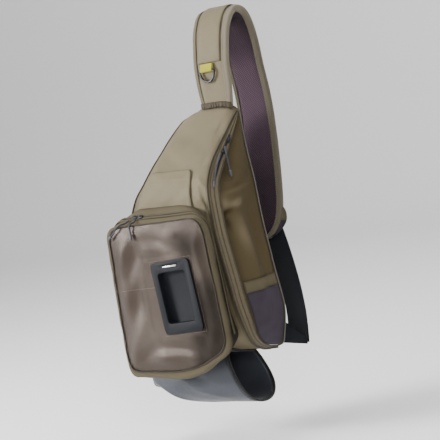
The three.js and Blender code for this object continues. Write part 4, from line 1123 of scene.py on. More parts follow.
class Net:
    """A material's node tree round one surface shader."""

    def __init__(self, name: str) -> None:
        """Makes the material with its shader."""
        self.material = bpy.data.materials.new(name)
        self.material.use_nodes = True
        self.nodes = self.material.node_tree.nodes
        self.shader = self.nodes["Principled BSDF"]

    def add(self, kind: str, settings: dict, *inputs: object, output: int | str = 0,
            **named: object) -> Value:
        """Adds any node.

        Args:
            kind: the node's type.
            settings: its properties.
            inputs: values or links of its sockets in order.
            output: which output is returned.
            named: values or links of sockets by name, with _ for a space.

        Returns:
            The output.
        """
        node = self.nodes.new(kind)
        for key, setting in settings.items():
            setattr(node, key, setting)
        for key, given in [*enumerate(inputs), *((k.replace("_", " "), v) for k, v in named.items())]:
            self.feed(node.inputs[key], given)
        return Value(self, node.outputs[output])

    def feed(self, socket: bpy.types.NodeSocket, given: object) -> None:
        """Links a value to a socket, or sets the socket."""
        if isinstance(given, Value):
            self.material.node_tree.links.new(given.socket, socket)
        else:
            socket.default_value = given

    def set(self, **named: object) -> None:
        """Feeds the shader's sockets by name, with _ for a space."""
        for key, given in named.items():
            self.feed(self.shader.inputs[key.replace("_", " ")], given)

    def blend(self, share: Value | float, a: Value | Colour, b: Value | Colour) -> Value:
        """Blends two colours."""
        node = self.nodes.new("ShaderNodeMix")
        node.data_type = "RGBA"
        for key, given in ((0, share), (6, a), (7, b)):
            self.feed(node.inputs[key], (*given, 1.0) if isinstance(given, tuple) else given)
        return Value(self, node.outputs[2])

    def noise(self, scale: float, detail: float = 2.0, coordinates: Value | None = None) -> Value:
        """Noise of about scale waves in a metre."""
        where = coordinates or self.place()
        return self.add("ShaderNodeTexNoise", {}, Vector=where, Scale=scale, Detail=detail)

    def place(self) -> Value:
        """Place in the object, in metres."""
        return self.add("ShaderNodeTexCoord", {}, output="Object")

    def on_cloth(self) -> Value:
        """Lengths across and along the cloth, in metres."""
        return self.add("ShaderNodeUVMap", {"uv_map": "cloth"})

    def parts(self, vector: Value) -> list[Value]:
        """The three numbers of a vector."""
        split = self.nodes.new("ShaderNodeSeparateXYZ")
        self.feed(split.inputs[0], vector)
        return [Value(self, socket) for socket in split.outputs]

    def stored(self, name: str) -> Value:
        """A value stored on the vertices."""
        return self.add("ShaderNodeAttribute", {"attribute_name": name}, output="Fac")

    def relief(self, height: Value) -> Value:
        """Bump of a height in mm."""
        return self.add("ShaderNodeBump", {}, Strength=1.0, Distance=MM, Height=height)


class Weave(Enum):
    """How threads cross."""

    PLAIN = 0
    TWILL = 1
    MESH = 2
    RIB = 3


@dataclass(frozen=True)
class Cloth:
    """Woven or knitted finish."""

    name: str
    colour: Colour
    shade: Colour
    weave: Weave = Weave.PLAIN
    pitch: float = 1.1
    depth: float = 0.12
    crease: float = 0.7
    rough: float = 0.62
    sheen: float = 0.15
    coat: float = 0.0
    seam_shade: float = 0.45
    gloss: float = 0.2
    gloss_tint: Colour = (1.0, 0.95, 0.86)
    laid: bool = True

    def made(self) -> bpy.types.Material:
        """Builds and returns the material."""
        net = Net(self.name)
        where = net.place()
        if self.laid:
            across, along, _ = net.parts(net.on_cloth())
        else:
            east, north, along = net.parts(where)
            across = east + north * 0.8
        thread = TURN / (self.pitch * MM)
        x, y = across * thread, along * thread
        if self.weave is Weave.PLAIN:
            height = x.sine() * y.sine() * 0.5 + 0.5
        elif self.weave is Weave.TWILL:
            height = (x + y).sine() * 0.5 + 0.5
        elif self.weave is Weave.RIB:
            height = (x + (y * 2).sine() * 0.5).sine() * 0.5 + 0.5
        else:
            height = ((x * 0.5 + y * 0.5).sine() * (x * 0.5 - y * 0.5).sine()).size()
        broad = net.noise(9, 3, where)
        patchy = net.noise(45, 4, where)
        fine = net.noise(420, 3, where)
        uneven = (broad * 0.55 + patchy * 0.45 - 0.5) * 2.2 + 0.5
        colour = net.blend(uneven.limited(), self.shade, self.colour)
        thread_share = 1.0 if self.weave is Weave.MESH else 0.2
        between = 0.08 if self.weave is Weave.MESH else 0.25
        colour = net.blend((1 - height) * thread_share, colour, tuple(c * between for c in self.colour))
        colour = net.blend(fine * 0.22, colour, tuple(min(1, c * 1.25) for c in self.colour))
        seam, tone = net.stored("seam"), net.stored("tone")
        # Darker near seams and in grooves: painted shade.
        colour = net.blend((seam * self.seam_shade).limited(), colour, tuple(c * 0.3 for c in self.shade))
        # Painted shade where the stored values are above 0 and painted highlight where they are below 0;
        # the shade also roughens the cloth.
        colour = net.blend(tone.limited(), colour, tuple(c * 0.15 for c in self.colour))
        colour = net.blend((tone * -1).limited(), colour, tuple(c * 1.35 + 0.017 for c in self.colour))
        ripples = net.noise(26, 4, where) * 3.2 + patchy * 1.5
        relief = height * self.depth + ripples * self.crease * 0.35 + fine * 0.05
        rough = (patchy - 0.5) * 0.25 + self.rough + tone.limited() * 0.5
        net.set(Base_Color=colour, Roughness=rough, Normal=net.relief(relief),
                Sheen_Weight=self.sheen, Sheen_Roughness=0.4, Coat_Weight=self.coat,
                Coat_Roughness=0.35, Specular_IOR_Level=self.gloss,
                Specular_Tint=(*self.gloss_tint, 1.0))
        return net.material


@dataclass(frozen=True)
class Hard:
    """Moulded or metal finish."""

    name: str
    colour: Colour
    metal: float = 0.0
    rough: float = 0.4
    grain: float = 0.05
    wear: Colour = (0.5, 0.5, 0.5)
    wear_share: float = 0.1
    gloss: float = 0.5

    def made(self) -> bpy.types.Material:
        """Builds and returns the material."""
        net = Net(self.name)
        where = net.place()
        cloud, grain = net.noise(60, 4, where), net.noise(1800, 2, where)
        worn = ((cloud - 0.55) * 4).limited() * self.wear_share
        net.set(Base_Color=net.blend(worn, self.colour, self.wear), Metallic=self.metal,
                Roughness=self.rough + (cloud - 0.5) * 0.2 + grain * 0.05,
                Normal=net.relief(grain * self.grain),
                Specular_IOR_Level=self.gloss)
        return net.material


@dataclass(frozen=True)
class Braid:
    """Braided cord or thread finish."""

    name: str
    colour: Colour
    fleck: Colour
    pitch: float = 2.2

    def made(self) -> bpy.types.Material:
        """Builds and returns the material."""
        net = Net(self.name)
        x, y, _ = (value * (TURN / (self.pitch * MM)) for value in net.parts(net.on_cloth()))
        cross = ((x + y).sine() * (x - y).sine()) * 0.5 + 0.5
        net.set(Base_Color=net.blend(cross.power(2), self.colour, self.fleck), Roughness=0.7 - cross * 0.15,
                Normal=net.relief(cross * 0.35), Sheen_Weight=0.03, Specular_IOR_Level=0.2)
        return net.material



SHELL_CLOTH = Cloth("shell_cloth", (0.136, 0.113, 0.069), (0.108, 0.089, 0.053), sheen=0.05, rough=0.5)
SIDE_CLOTH = Cloth("side_cloth", (0.069, 0.052, 0.0255), (0.056, 0.042, 0.02), crease=0.35, rough=0.68,
                   sheen=0.0, gloss=0.12)
HEM_CLOTH = Cloth("hem_cloth", (0.092, 0.076, 0.047), (0.075, 0.061, 0.036), crease=0.4, rough=0.7,
                  sheen=0.0, gloss=0.12)
GUSSET_CLOTH = Cloth("gusset_cloth", (0.087, 0.0735, 0.046), (0.064, 0.053, 0.032), crease=0.6, rough=0.66,
                     sheen=0.0, gloss=0.12)
FACE_CLOTH = Cloth("face_cloth", (0.0275, 0.0192, 0.0142), (0.02, 0.0138, 0.0101), pitch=0.7, depth=0.05,
                   crease=0.8, rough=0.4, sheen=0.0, seam_shade=0.4, gloss=0.36,
                   gloss_tint=(1.0, 0.84, 0.73))
STRIP_CLOTH = Cloth("strip_cloth", (0.14, 0.115, 0.072), (0.085, 0.068, 0.04), Weave.RIB, pitch=2.2,
                    depth=0.3, seam_shade=0.95)
# Dark brown cord: partly the piping's own colour, partly painted shade of the gap round the face.
PIPING_AND_GAP_SHADE = Cloth("piping_and_gap_shade", (0.024, 0.017, 0.011), (0.016, 0.012, 0.009), pitch=0.8)
# Near-black cord: partly the piping's own dark colour, partly painted shade of the seam beside it.
PIPING_AND_SEAM_SHADE = Cloth("piping_and_seam_shade", (0.035, 0.026, 0.015), (0.025, 0.019, 0.011), pitch=0.8)
BACK_PIPING = Cloth("back_piping", (0.12, 0.108, 0.098), (0.085, 0.077, 0.07), Weave.TWILL, pitch=1.2)
BACK_MESH = Cloth("back_mesh", (0.075, 0.063, 0.041), (0.052, 0.043, 0.028), Weave.MESH, pitch=3.4,
                  depth=0.9, rough=0.85, sheen=0.05)
# Darker than the bag's own olive cloth: painted shade in the gathers.
SHADED_GATHER_CLOTH = Cloth("shaded_gather_cloth", (0.05, 0.037, 0.02), (0.03, 0.022, 0.012), rough=0.6)
FELT = Cloth("felt", (0.04, 0.029, 0.044), (0.028, 0.02, 0.031), pitch=0.6, depth=0.3, crease=0.9,
             rough=0.9, sheen=0.06)
STRAP_MESH = Cloth("strap_mesh", (0.088, 0.05, 0.076), (0.06, 0.034, 0.052), Weave.MESH, pitch=4.6,
                   depth=1.2, rough=0.8, sheen=0.05)
BINDING = Cloth("binding", (0.105, 0.087, 0.053), (0.08, 0.065, 0.038), Weave.RIB, pitch=1.4, depth=0.25,
                crease=0.4)
BINDING_LIGHT = Cloth("binding_light", (0.175, 0.152, 0.11), (0.13, 0.112, 0.078), Weave.RIB, pitch=1.4,
                      depth=0.25, crease=0.4)
WEBBING_CLOTH = Cloth("webbing_cloth", (0.013, 0.0145, 0.02), (0.006, 0.007, 0.01), Weave.RIB, pitch=2.6,
                      depth=0.6, crease=0.2, rough=0.6, gloss=0.1, sheen=0.02)
TAB_CLOTH = Cloth("tab_cloth", (0.4, 0.37, 0.02), (0.22, 0.21, 0.02), Weave.TWILL, pitch=2.4, depth=0.5,
                  crease=0.2, laid=False)
SLEEVE_CLOTH = Cloth("sleeve_cloth", (0.039, 0.0425, 0.0525), (0.029, 0.0315, 0.04), pitch=0.8, rough=0.38,
                     crease=0.8, coat=0.1, seam_shade=0.3, gloss=0.25,
                     gloss_tint=(0.9, 0.95, 1.0))
ELASTIC = Cloth("elastic", (0.01, 0.01, 0.012), (0.007, 0.007, 0.009), Weave.RIB, pitch=1.2, depth=0.4,
                crease=0.1, rough=0.6)
MOULDED = Hard("moulded", (0.0058, 0.0064, 0.0088), rough=0.55, grain=0.05, wear=(0.015, 0.0165, 0.021),
               gloss=0.15)
STEEL = Hard("steel", (0.55, 0.55, 0.56), metal=1.0, rough=0.25)
RING_METAL = Hard("ring_metal", (0.05, 0.047, 0.05), metal=1.0, rough=0.34)
SLIDER_METAL = Hard("slider_metal", (0.03, 0.03, 0.035), metal=0.8, rough=0.35)
TEETH = Hard("teeth", (0.01, 0.01, 0.012), rough=0.35)
TIP = Hard("tip", (0.035, 0.035, 0.045), rough=0.5)
CORD = Braid("cord", (0.022, 0.022, 0.03), (0.085, 0.083, 0.105))
THREAD = Braid("thread", (0.19, 0.165, 0.11), (0.12, 0.1, 0.065), pitch=0.6)
THREAD_DARK = Braid("thread_dark", (0.03, 0.023, 0.012), (0.02, 0.015, 0.008), pitch=0.6)
THREAD_PALE = Braid("thread_pale", (0.2, 0.17, 0.145), (0.15, 0.125, 0.105), pitch=0.6)


class Wardrobe:
    """Materials made once each, and the rows of stitches that use them."""

    def __init__(self) -> None:
        """Starts empty."""
        self.made: dict[str, bpy.types.Material] = {}
        self.beads = BeadRow()

    def __call__(self, finish: Cloth | Hard | Braid) -> bpy.types.Material:
        """The material of a finish."""
        if finish.name not in self.made:
            self.made[finish.name] = finish.made()
        return self.made[finish.name]


@dataclass
class Assembly:
    """A group of pieces and the materials that they share."""

    wear: Wardrobe

    def sew(self, name: str, outer: Array, inner: Array, finish: Cloth, slot: str, *nodes: str,
            **more: object) -> None:
        """Makes a wall of cloth and hands it to the frame.

        Args:
            name: the piece's name.
            outer: outer points.
            inner: inner points.
            finish: its finish.
            slot: the record's material slot.
            nodes: CAD nodes that it stands for.
            more: what cloth_piece takes besides.
        """
        settle(cloth_piece(name, outer, inner, self.wear(finish), **more), slot, *nodes)

    def stitch(self, name: str, lines: Sequence[Array], beads: Beads, finish: Braid | Hard, slot: str,
               *nodes: str) -> None:
        """Sets beads along lines and hands them to the frame.

        Args:
            name: the piece's name.
            lines: each a row of points in mm.
            beads: what is set.
            finish: its finish.
            slot: the record's material slot.
            nodes: CAD nodes that it stands for.
        """
        settle(self.wear.beads.run(name, lines, beads, self.wear(finish)), slot, *nodes)


def settle(made: bpy.types.Object, slot: str, *nodes: str, body: str = BAG) -> bpy.types.Object:
    """Hands a finished piece to the frame.

    Args:
        made: the piece.
        slot: the record's material slot; not used.
        nodes: CAD nodes that it stands for.
        body: the body it rides on.

    Returns:
        The same piece.
    """
    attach(made, body)
    if nodes:
        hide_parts(*nodes)
    LOG.info("%s: %d faces", made.name, len(made.data.polygons))
    return made


def skin(surface: Callable[[Array, Array, Array], Array], u: Array, t: Array,
         lift: Array) -> tuple[Array, Array]:
    """Outer and inner points of the cloth on a surface, lifted off it in mm."""
    return surface(u, t, lift), surface(u, t, lift - SHELL.cloth)


def side_ease(u: Array, t: Array) -> Array:
    """Share of a side's folds that is kept: none at its four edges."""
    ease = within(14 * u) * within(9 * (1 - u))
    return ease * within(9 * (t - SIDE_START)) * within(9 * (SIDE_END - t))


# The bag's sub-assemblies


@dataclass
class MainBody(Assembly):
    """Front, sides, zip strip, back pad, slip pocket and side trim."""

    rows: int = 170
    slip_top: float = 0.225
    slip_foot: float = 0.75
    slip_corner: float = 11
    slip_lift: float = 1.0
    slip_cloth: float = 1.4
    hem_down: float = 0.69
    hem_high: float = 20
    patch_high: float = 104
    zip_line: float = 0.55
    zip_top: float = 0.1
    zip_foot: float = 0.47
    zip_parted: float = 112
    front_seams: tuple[float, float] = (0.035, 0.965)
    strip_seams: tuple[float, float] = (0.2, 0.88)
    side_reach: float = 1.045
    hem_seams: tuple[float, float] = (2.0, 2.5)

    def build(self) -> None:
        """Makes every piece of the body."""
        self.front()
        self.sides()
        self.zip_strip()
        self.back()
        self.piping()
        self.slip_pocket()
        self.side_trim()

    def front_lift(self, u: Array, t: Array) -> Array:
        """How far the front cloth stands out of its plain surface.

        Args:
            u: share across the front.
            t: share down the bag.

        Returns:
            Distances in mm.
        """
        flat = SHELL.front(u, t, 0)
        inside = np.minimum(1, 8 * u) * np.minimum(1, 8 * (1 - u))
        calm = within((SHELL.station(-170.0) + 0.03 - t) * 12) + 0.6 * (u > 0.86) * (t < 0.5)
        lift = (folds(FRONT_FOLDS, u, t) + 1.1 * crumple(flat, 60, 3)) * inside * calm
        edge = np.minimum(u, 1 - u) * 180
        pucker = 0.35 * np.sin(t * 330) * bell(edge - 5, 6)
        return np.minimum(lift + pucker, 3.4)

    def side_lift(self, u: Array, t: Array) -> Array:
        """How far the right side's cloth stands out of its plain surface.

        Args:
            u: share from the front to the back.
            t: share down the bag.

        Returns:
            Distances in mm.
        """
        return (folds(SIDE_FOLDS, u, t) + crumple(SHELL.side_right(u, t, 0), 60, 11)) * side_ease(u, t)

    def front(self) -> None:
        """Front panel with its folds, and stitches beside its seams."""
        u, t = np.meshgrid(steps(56), steps(self.rows))
        lift = self.front_lift(u, t)
        outer, inner = skin(SHELL.front, u, t, lift)
        # The front's cloth carries painted shade and painted highlights at its folds near the right seam.
        self.sew("front_cloth", outer, inner, SHELL_CLOTH, "shell_cloth", "front_panel",
                 tone=folds(FRONT_PAINTED_LIGHT, u, t))
        ts = steps(500, SIDE_START, SIDE_END)
        lines = [SHELL.front(np.full_like(ts, side), ts, 0.5) for side in self.front_seams]
        self.stitch("front_stitches", lines, Beads.STITCH, THREAD, "shell_cloth")

    def sides(self) -> None:
        """Both side panels, which lap round the back pad's edge."""
        u, t = np.meshgrid(steps(62, 0, self.side_reach), steps(260, SIDE_START, SIDE_END))
        lift = self.side_lift(u, t)
        outer, inner = skin(SHELL.side_right, u, t, lift)
        # The right side's cloth carries painted highlights on its folds and painted shade beneath them.
        self.sew("right_side_cloth", outer, inner, SIDE_CLOTH, "side_cloth", "side_panel_right", edge=9,
                 tone=folds(SIDE_PAINTED_LIGHT, u, t))
        lift = 1.4 * crumple(SHELL.side_left(u, t, 0), 70, 5) * side_ease(u, t)
        outer, inner = skin(SHELL.side_left, u, t, lift)
        self.sew("left_side_cloth", outer, inner, SIDE_CLOTH, "side_cloth", "side_panel_left")

    def zip_strip(self) -> None:
        """Zip strip with a groove between two flaps, and the coil in it."""
        u, t = np.meshgrid(steps(44), steps(240, SIDE_START, SIDE_END))
        top, foot = SHELL.station(-SHELL.high * self.zip_top), SHELL.station(-SHELL.high * self.zip_foot)
        open_run = within((t - top) * 60) * within((foot - t) * 60)
        parted = within((SHELL.station(-self.zip_parted) - t) * 40)
        groove = bell(u - self.zip_line, mix(0.045, 0.1, parted))
        flaps = bell(u - self.zip_line + 0.25, 0.14) + bell(u - self.zip_line - 0.25, 0.14)
        lift = flaps * mix(0.5, 0.9, open_run) - groove * mix(0.7, 0.9, parted * open_run)
        lift = lift + 0.25 * crumple(SHELL.strip(u, t, 0), 12, 8)
        sewn = np.maximum(*(bell(u - side, 0.045) for side in self.strip_seams)) * 0.8
        lift = lift - 0.8 * sewn
        # The zip groove is shaded like the seams: painted shade.
        sewn = np.maximum(sewn, groove)
        outer, inner = skin(SHELL.strip, u, t, lift)
        # The strip is darker down its lower half: painted shade.
        self.sew("zip_strip_cloth", outer, inner, STRIP_CLOTH, "shell_cloth", "zip_strip", edge=2.0,
                 sewn=sewn, tone=0.25 * within((t - 0.5) * 4))
        ts = steps(300, top, foot)
        seen = within((SHELL.station(-self.zip_parted) - ts) * 40)
        lines = [SHELL.strip(np.full_like(ts, self.zip_line + side), ts, mix(-2.2, 0.5, seen))
                 for side in (-0.055, 0.055)]
        self.stitch("main_zip_teeth", lines, Beads.TEETH, TEETH, "zip_coil", "main_zip_coil")
        lines = [SHELL.strip(np.full_like(ts, side), ts, 0.1) for side in self.strip_seams]
        self.stitch("strip_stitches", lines, Beads.FINE_STITCH, THREAD_DARK, "shell_cloth")

    def back(self) -> None:
        """Padded back with sewn channels."""
        made = copy_of("back_panel", "back_pad", self.wear(BACK_MESH))
        stuffed(made, 5, 4, 2.5)

        def channels(p: Array) -> Array:
            """Depth of the sewn channels."""
            x, z = p[:, 0], p[:, 2]
            lines = bell(z + 130 + 0.15 * x, 6) + bell(z + 240, 6) + bell(z + 340 - 0.15 * x, 6)
            return -3.6 * np.minimum(1, lines) * (p[:, 1] > -5)

        push(made, channels)
        lay_cloth(made, lambda p: p[:, [0, 2]])
        settle(made, "back_mesh", "back_panel")

    def piping(self) -> None:
        """Cords in the front seams and round the back."""
        ts = steps(260, SIDE_START, SIDE_END)
        for name, edge, aside in (("left", 0.0, -0.2), ("right", 1.0, 0.2)):
            path = SHELL.front(np.full_like(ts, edge), ts, 1.0) + np.array([aside, 0, 0])
            path = path + 0.25 * crumple(path, 14, 40)[:, None] * np.array([1, 0, 1])
            # The cord's near-black colour stands partly for the seam's shadow: painted shade.
            made = tube(f"{name}_front_piping", path, 1.0, self.wear(PIPING_AND_SEAM_SHADE), 10)
            settle(made, "piping_dark", f"front_piping_{name}")
        made = tube("rear_piping", self.back_outline(), 1.2, self.wear(BACK_PIPING), 10, True)
        settle(made, "piping_olive", "back_piping")

    def back_outline(self) -> Array:
        """Line of the cord round the back panel's front edge."""
        ts = steps(110, SIDE_START, SIDE_END)
        top = SHELL.front(steps(14), np.zeros(15), 0)
        right = SHELL.side_right(np.ones_like(ts), ts, 0)
        foot = SHELL.front(1 - steps(10), np.ones(11), 0)
        left = SHELL.side_left(np.ones_like(ts), ts, 0)[::-1]
        outline = np.concatenate([top, right, foot, left])[:, [0, 2]]
        keep = [0]
        for i in range(1, len(outline)):
            if np.linalg.norm(outline[i] - outline[keep[-1]]) > 1.5:
                keep.append(i)
        outline = outline[keep]
        if np.linalg.norm(outline[0] - outline[-1]) < 1.5:
            outline = outline[:-1]
        for _ in range(6):
            outline = (np.roll(outline, 1, 0) + 2 * outline + np.roll(outline, -1, 0)) / 4
        moved = PocketForm.inset(outline, -2.0)
        return point(moved[:, 0], -SHELL.pad, moved[:, 1])

    def slip_pocket(self) -> None:
        """Flat pocket over the middle of the front, with a hem along its top."""
        top = float(SHELL.station(-SHELL.high * self.slip_top))
        foot = float(SHELL.station(-SHELL.high * self.slip_foot))
        share = np.concatenate([steps(40) ** 1.5 * 0.12, steps(70, 0.125, 1)])
        t = mix(top, foot, share)[:, None]
        fallen = np.minimum(SHELL.path(t)[1][0] - SHELL.path(t)[1], self.slip_corner)
        nip = self.slip_corner - np.sqrt(self.slip_corner**2 - (self.slip_corner - fallen) ** 2)
        wide = SHELL.right(t) - SHELL.left(t)
        u = mix(0.06, (-2 - nip - SHELL.left(t)) / wide, steps(44)[None, :])
        t = np.broadcast_to(t, u.shape)
        down = (SHELL.path(t)[1][:1] - SHELL.path(t)[1])
        hem = within((down - 0.4) / 2) * (1 - 1 / (1 + np.exp(-(down - 15) * 1.6))) * 1.1
        flat = SHELL.front(u, t, 0)
        calm = within(down / 16) * within((58 - down) / 20)
        sag = 0.7 * crumple(flat, 40, 21) * calm
        under = self.front_lift(u, t)
        outer = SHELL.front(u, t, under + self.slip_lift + self.slip_cloth + hem + np.maximum(sag, -0.6))
        inner = SHELL.front(u, t, under + self.slip_lift)
        self.sew("slip_cloth", outer, inner, SHELL_CLOTH, "shell_cloth", "slip_pocket", edge=3)
        rows = SHELL.station(SHELL.path(t[0])[1] - 13.5)
        base = self.slip_lift + self.slip_cloth
        line = SHELL.front(u[0], rows, self.front_lift(u[0], rows) + base + 0.9)
        side, rows = u[18:60, -1] - 0.02, t[18:60, -1]
        edge = SHELL.front(side, rows, self.front_lift(side, rows) + base + 0.3)
        self.stitch("slip_stitches", [line, edge], Beads.STITCH, THREAD, "shell_cloth")

    def trim(self, name: str, down: float, high: float, thick: float, finish: Cloth, slot: str,
             node: str) -> None:
        """Panel of trim on the right side.

        Args:
            name: the piece's name.
            down: drop to its top edge, mm.
            high: its height, mm.
            thick: how far it stands out, mm.
            finish: its finish.
            slot: the record's slot.
            node: the CAD node it stands for.
        """
        ts = steps(900, 0.4, SIDE_END)
        edge_z = SHELL.side_right(np.zeros_like(ts), ts, 0)[:, 2]
        start, end = (float(np.interp(-z, -edge_z, ts)) for z in (-down, -down - high))
        t = steps(60, start, end)[:, None]
        depth = -SHELL.pad - SHELL.side_right(np.zeros_like(t), t, 0)[..., 1]
        u = mix(0.02, 1 - 4 / depth, steps(34)[None, :])
        t = np.broadcast_to(t, u.shape)
        flat = SHELL.side_right(u, t, 0)
        base = 0.5 + self.side_lift(u, t)
        rise = thick * (0.75 + 0.25 * crumple(flat, 26, 4)) * np.minimum(1, 0.5 + 9 * np.minimum(u, 1 - u))
        outer, inner = SHELL.side_right(u, t, base + rise), SHELL.side_right(u, t, base)
        self.sew(name, outer, inner, finish, slot, node, edge=2.5)

    def side_trim(self) -> None:
        """Hem band and felt patch low on the right side."""
        down = self.hem_down * SHELL.high
        self.trim("hem_band", down, self.hem_high, 1.9, HEM_CLOTH, "shell_cloth", "side_hem")
        self.trim("felt_patch", down + self.hem_high + 0.4, self.patch_high, 1.8, FELT, "patch_felt",
                  "fly_patch")
        u, (over, under) = steps(60, 0.04, 0.88), self.hem_seams
        lines = [SHELL.side_right(u, np.full_like(u, SHELL.station(-down - drop + 3.0)), 2.6)
                 for drop in (over, self.hem_high - under)]
        self.stitch("hem_stitches", lines, Beads.FINE_STITCH, THREAD_DARK, "shell_cloth")


@dataclass
class Pocket(Assembly):
    """Zipped pocket with its moulded dock."""

    zip_line: float = 0.68
    zip_wide: float = 9
    wall_rows: int = 34
    face_rows: int = 44
    dock_seam: tuple[float, float] = (44.6, 64.6)
    margin_seam: tuple[float, float] = (-172, -80)
    margin_z: float = -283
    margin_lean: float = 0.03
    # Painted shade on the face's right side: darkness, left edge and spread in x, top and spread in z.
    painted_shade_corners: tuple[tuple[float, ...], ...] = ((0.95, -12, 26, -258, 24), (0.85, -34, 26, -356, 14))

    def build(self) -> None:
        """Makes every piece of the pocket."""
        self.gusset()
        self.face()
        self.zip()
        self.dock()

    def gusset(self) -> None:
        """Side wall, rolled over its rim to the face's seam."""
        form = POUCH
        rim, face = form.loop("r"), form.loop("f")
        lip = form.inset(face, -SHELL.gap)
        stations = np.stack([
            *(form.wall(share, 0) for share in steps(4)),
            form.ring(mix(rim, lip, 0.08), form.front + 4),
            form.ring(mix(rim, lip, 0.35), form.front + 1),
            form.ring(mix(rim, lip, 0.7), form.front + 0.1),
            form.ring(lip, form.front + SHELL.gap),
        ])
        outer = along_rows(stations, self.wall_rows)
        middle = np.array([form.x, 0, form.z])
        way = outer - middle
        way[..., 1] = 0
        way /= np.linalg.norm(way, axis=2)[..., None]
        share = steps(self.wall_rows - 1)[:, None, None]
        wave = crumple(outer, 34, 9)[..., None] * np.sin(math.pi * share) * 0.9
        index = np.arange(outer.shape[1])[None, :, None]
        pucker = 0.3 * np.sin(index * 2.3) * bell(share - 0.9, 0.1)
        outer = outer + way * (wave + pucker)
        inner = outer - way * form.cloth * (1 - share**6)
        inner[..., 1] += form.cloth * share[..., 0] ** 3
        # Painted shade on the gusset's right wall, in the recess beside the body.
        right = within((outer[..., 0] - 8) / 24) * within((-205 - outer[..., 2]) / 60)
        tone = right * within((outer[..., 1] + 168) / 10)
        self.sew("gusset_wall", outer, inner, GUSSET_CLOTH, "shell_cloth", "pocket_gusset", wrap=True,
                 edge=5, tone=tone)

    def face(self) -> None:
        """Coated face with its folds, its piping and its stitched seams."""
        form = POUCH
        share = steps(self.face_rows)
        outer, inner = form.face(share, 0.0), form.face(share, form.cloth - SHELL.gap)
        x, z = outer[..., 0], outer[..., 2]
        # Painted shade over the face's right and lower right, then painted highlights and painted shade at
        # listed places.
        tone = np.zeros_like(x)
        for dark, left, wide, top, high in self.painted_shade_corners:
            part = within((x - left) / wide) * within((top - z) / high)
            tone = np.maximum(tone, dark * part)
        for cx, cz, wide, high, dark in FACE_PAINTED_LIGHT.rows:
            tone = tone + dark * bell(x - cx, wide) * bell(z - cz, high)
        self.sew("face_cloth_panel", outer, inner, FACE_CLOTH, "face_cloth", "pocket_face", wrap=True,
                 edge=3, tone=tone)
        path = form.ring(form.loop("f"), form.front - 1.2)
        path = path + 0.5 * crumple(path, 16, 41)[:, None] * np.array([1, 0.3, 1])
        # The ring's dark colour stands partly for the shadow gap round the face: painted shade.
        made = tube("face_piping", path, 1.0, self.wear(PIPING_AND_GAP_SHADE), 10, True)
        settle(made, "piping_dark", "pocket_piping")
        self.stitch("face_stitches", self.face_seams(outer), Beads.FINE_STITCH, THREAD_PALE, "face_cloth")

    def face_seams(self, grid: Array) -> list[Array]:
        """Sewn lines on the face: round the dock, and from the left edge to it.

        Args:
            grid: points of the face.

        Returns:
            Lines of points in mm.
        """
        form, flat = POUCH, grid.reshape(-1, 3)
        w, h = self.dock_seam
        corners = np.array([(-w, -h), (w, -h), (w, h), (-w, h), (-w, -h)])
        border = np.concatenate([mix(a, b, steps(70)[:, None]) for a, b in zip(corners, corners[1:])])
        xs = steps(120, *self.margin_seam)
        margin = np.stack([xs, self.margin_z + self.margin_lean * (xs - self.margin_seam[0])], 1)
        lines = []
        for places in (form.on_dock(border[:, 0], border[:, 1]), margin):
            far = np.linalg.norm(places[:, None, :] - flat[None, :, [0, 2]], axis=2)
            close = np.argsort(far, axis=1)[:, :6]
            weight = 1 / (np.take_along_axis(far, close, 1) + 0.5) ** 2
            depth = (flat[close, 1] * weight).sum(1) / weight.sum(1)
            lines.append(point(places[:, 0], depth - 0.35, places[:, 1]))
        return lines

    def zip(self) -> None:
        """Two flaps over the pocket's zip, with its coil between them."""
        form = POUCH
        per_corner = form.arc + form.side
        count = len(POCKET.rows) * per_corner
        order = np.arange(-per_corner // 3, round(per_corner * 2.1)) % count
        half, at = self.zip_wide / 2 / form.deep, np.arange(len(order))
        for name, low, high, nodes in (("rear", -half, -0.025, ()),
                                       ("front", 0.025, half, ("pocket_zip",))):
            shares = mix(self.zip_line + low, self.zip_line + high, steps(6))
            rise = 1.7 + 0.7 * np.sin(math.pi * steps(6) ** (0.6 if low > 0 else 1.6))
            outer = np.stack([form.wall(s, r)[order] for s, r in zip(shares, rise)])
            outer[..., 2] += 0.7 * np.sin(0.8 * at) * np.sin(0.31 * at)
            inner = np.stack([form.wall(s, 0.7)[order] for s in shares])
            self.sew(f"zip_flap_{name}", outer, inner, GUSSET_CLOTH, "zip_tape", *nodes, edge=1.2)
        line = form.wall(self.zip_line, 1.1)[order]
        self.stitch("pocket_zip_teeth", [line], Beads.TEETH, TEETH, "zip_coil")

    def dock(self) -> None:
        """Moulded tray and the bar across its slot."""
        tray = bevelled("dock_tray", "dock_moulding", self.wear(MOULDED), 0.9)
        settle(tray, "moulded_black", "dock_tray")
        bar = bevelled("dock_pin", "dock_bar", self.wear(STEEL), 0.4, 50)
        settle(bar, "pin_steel", "dock_pin")


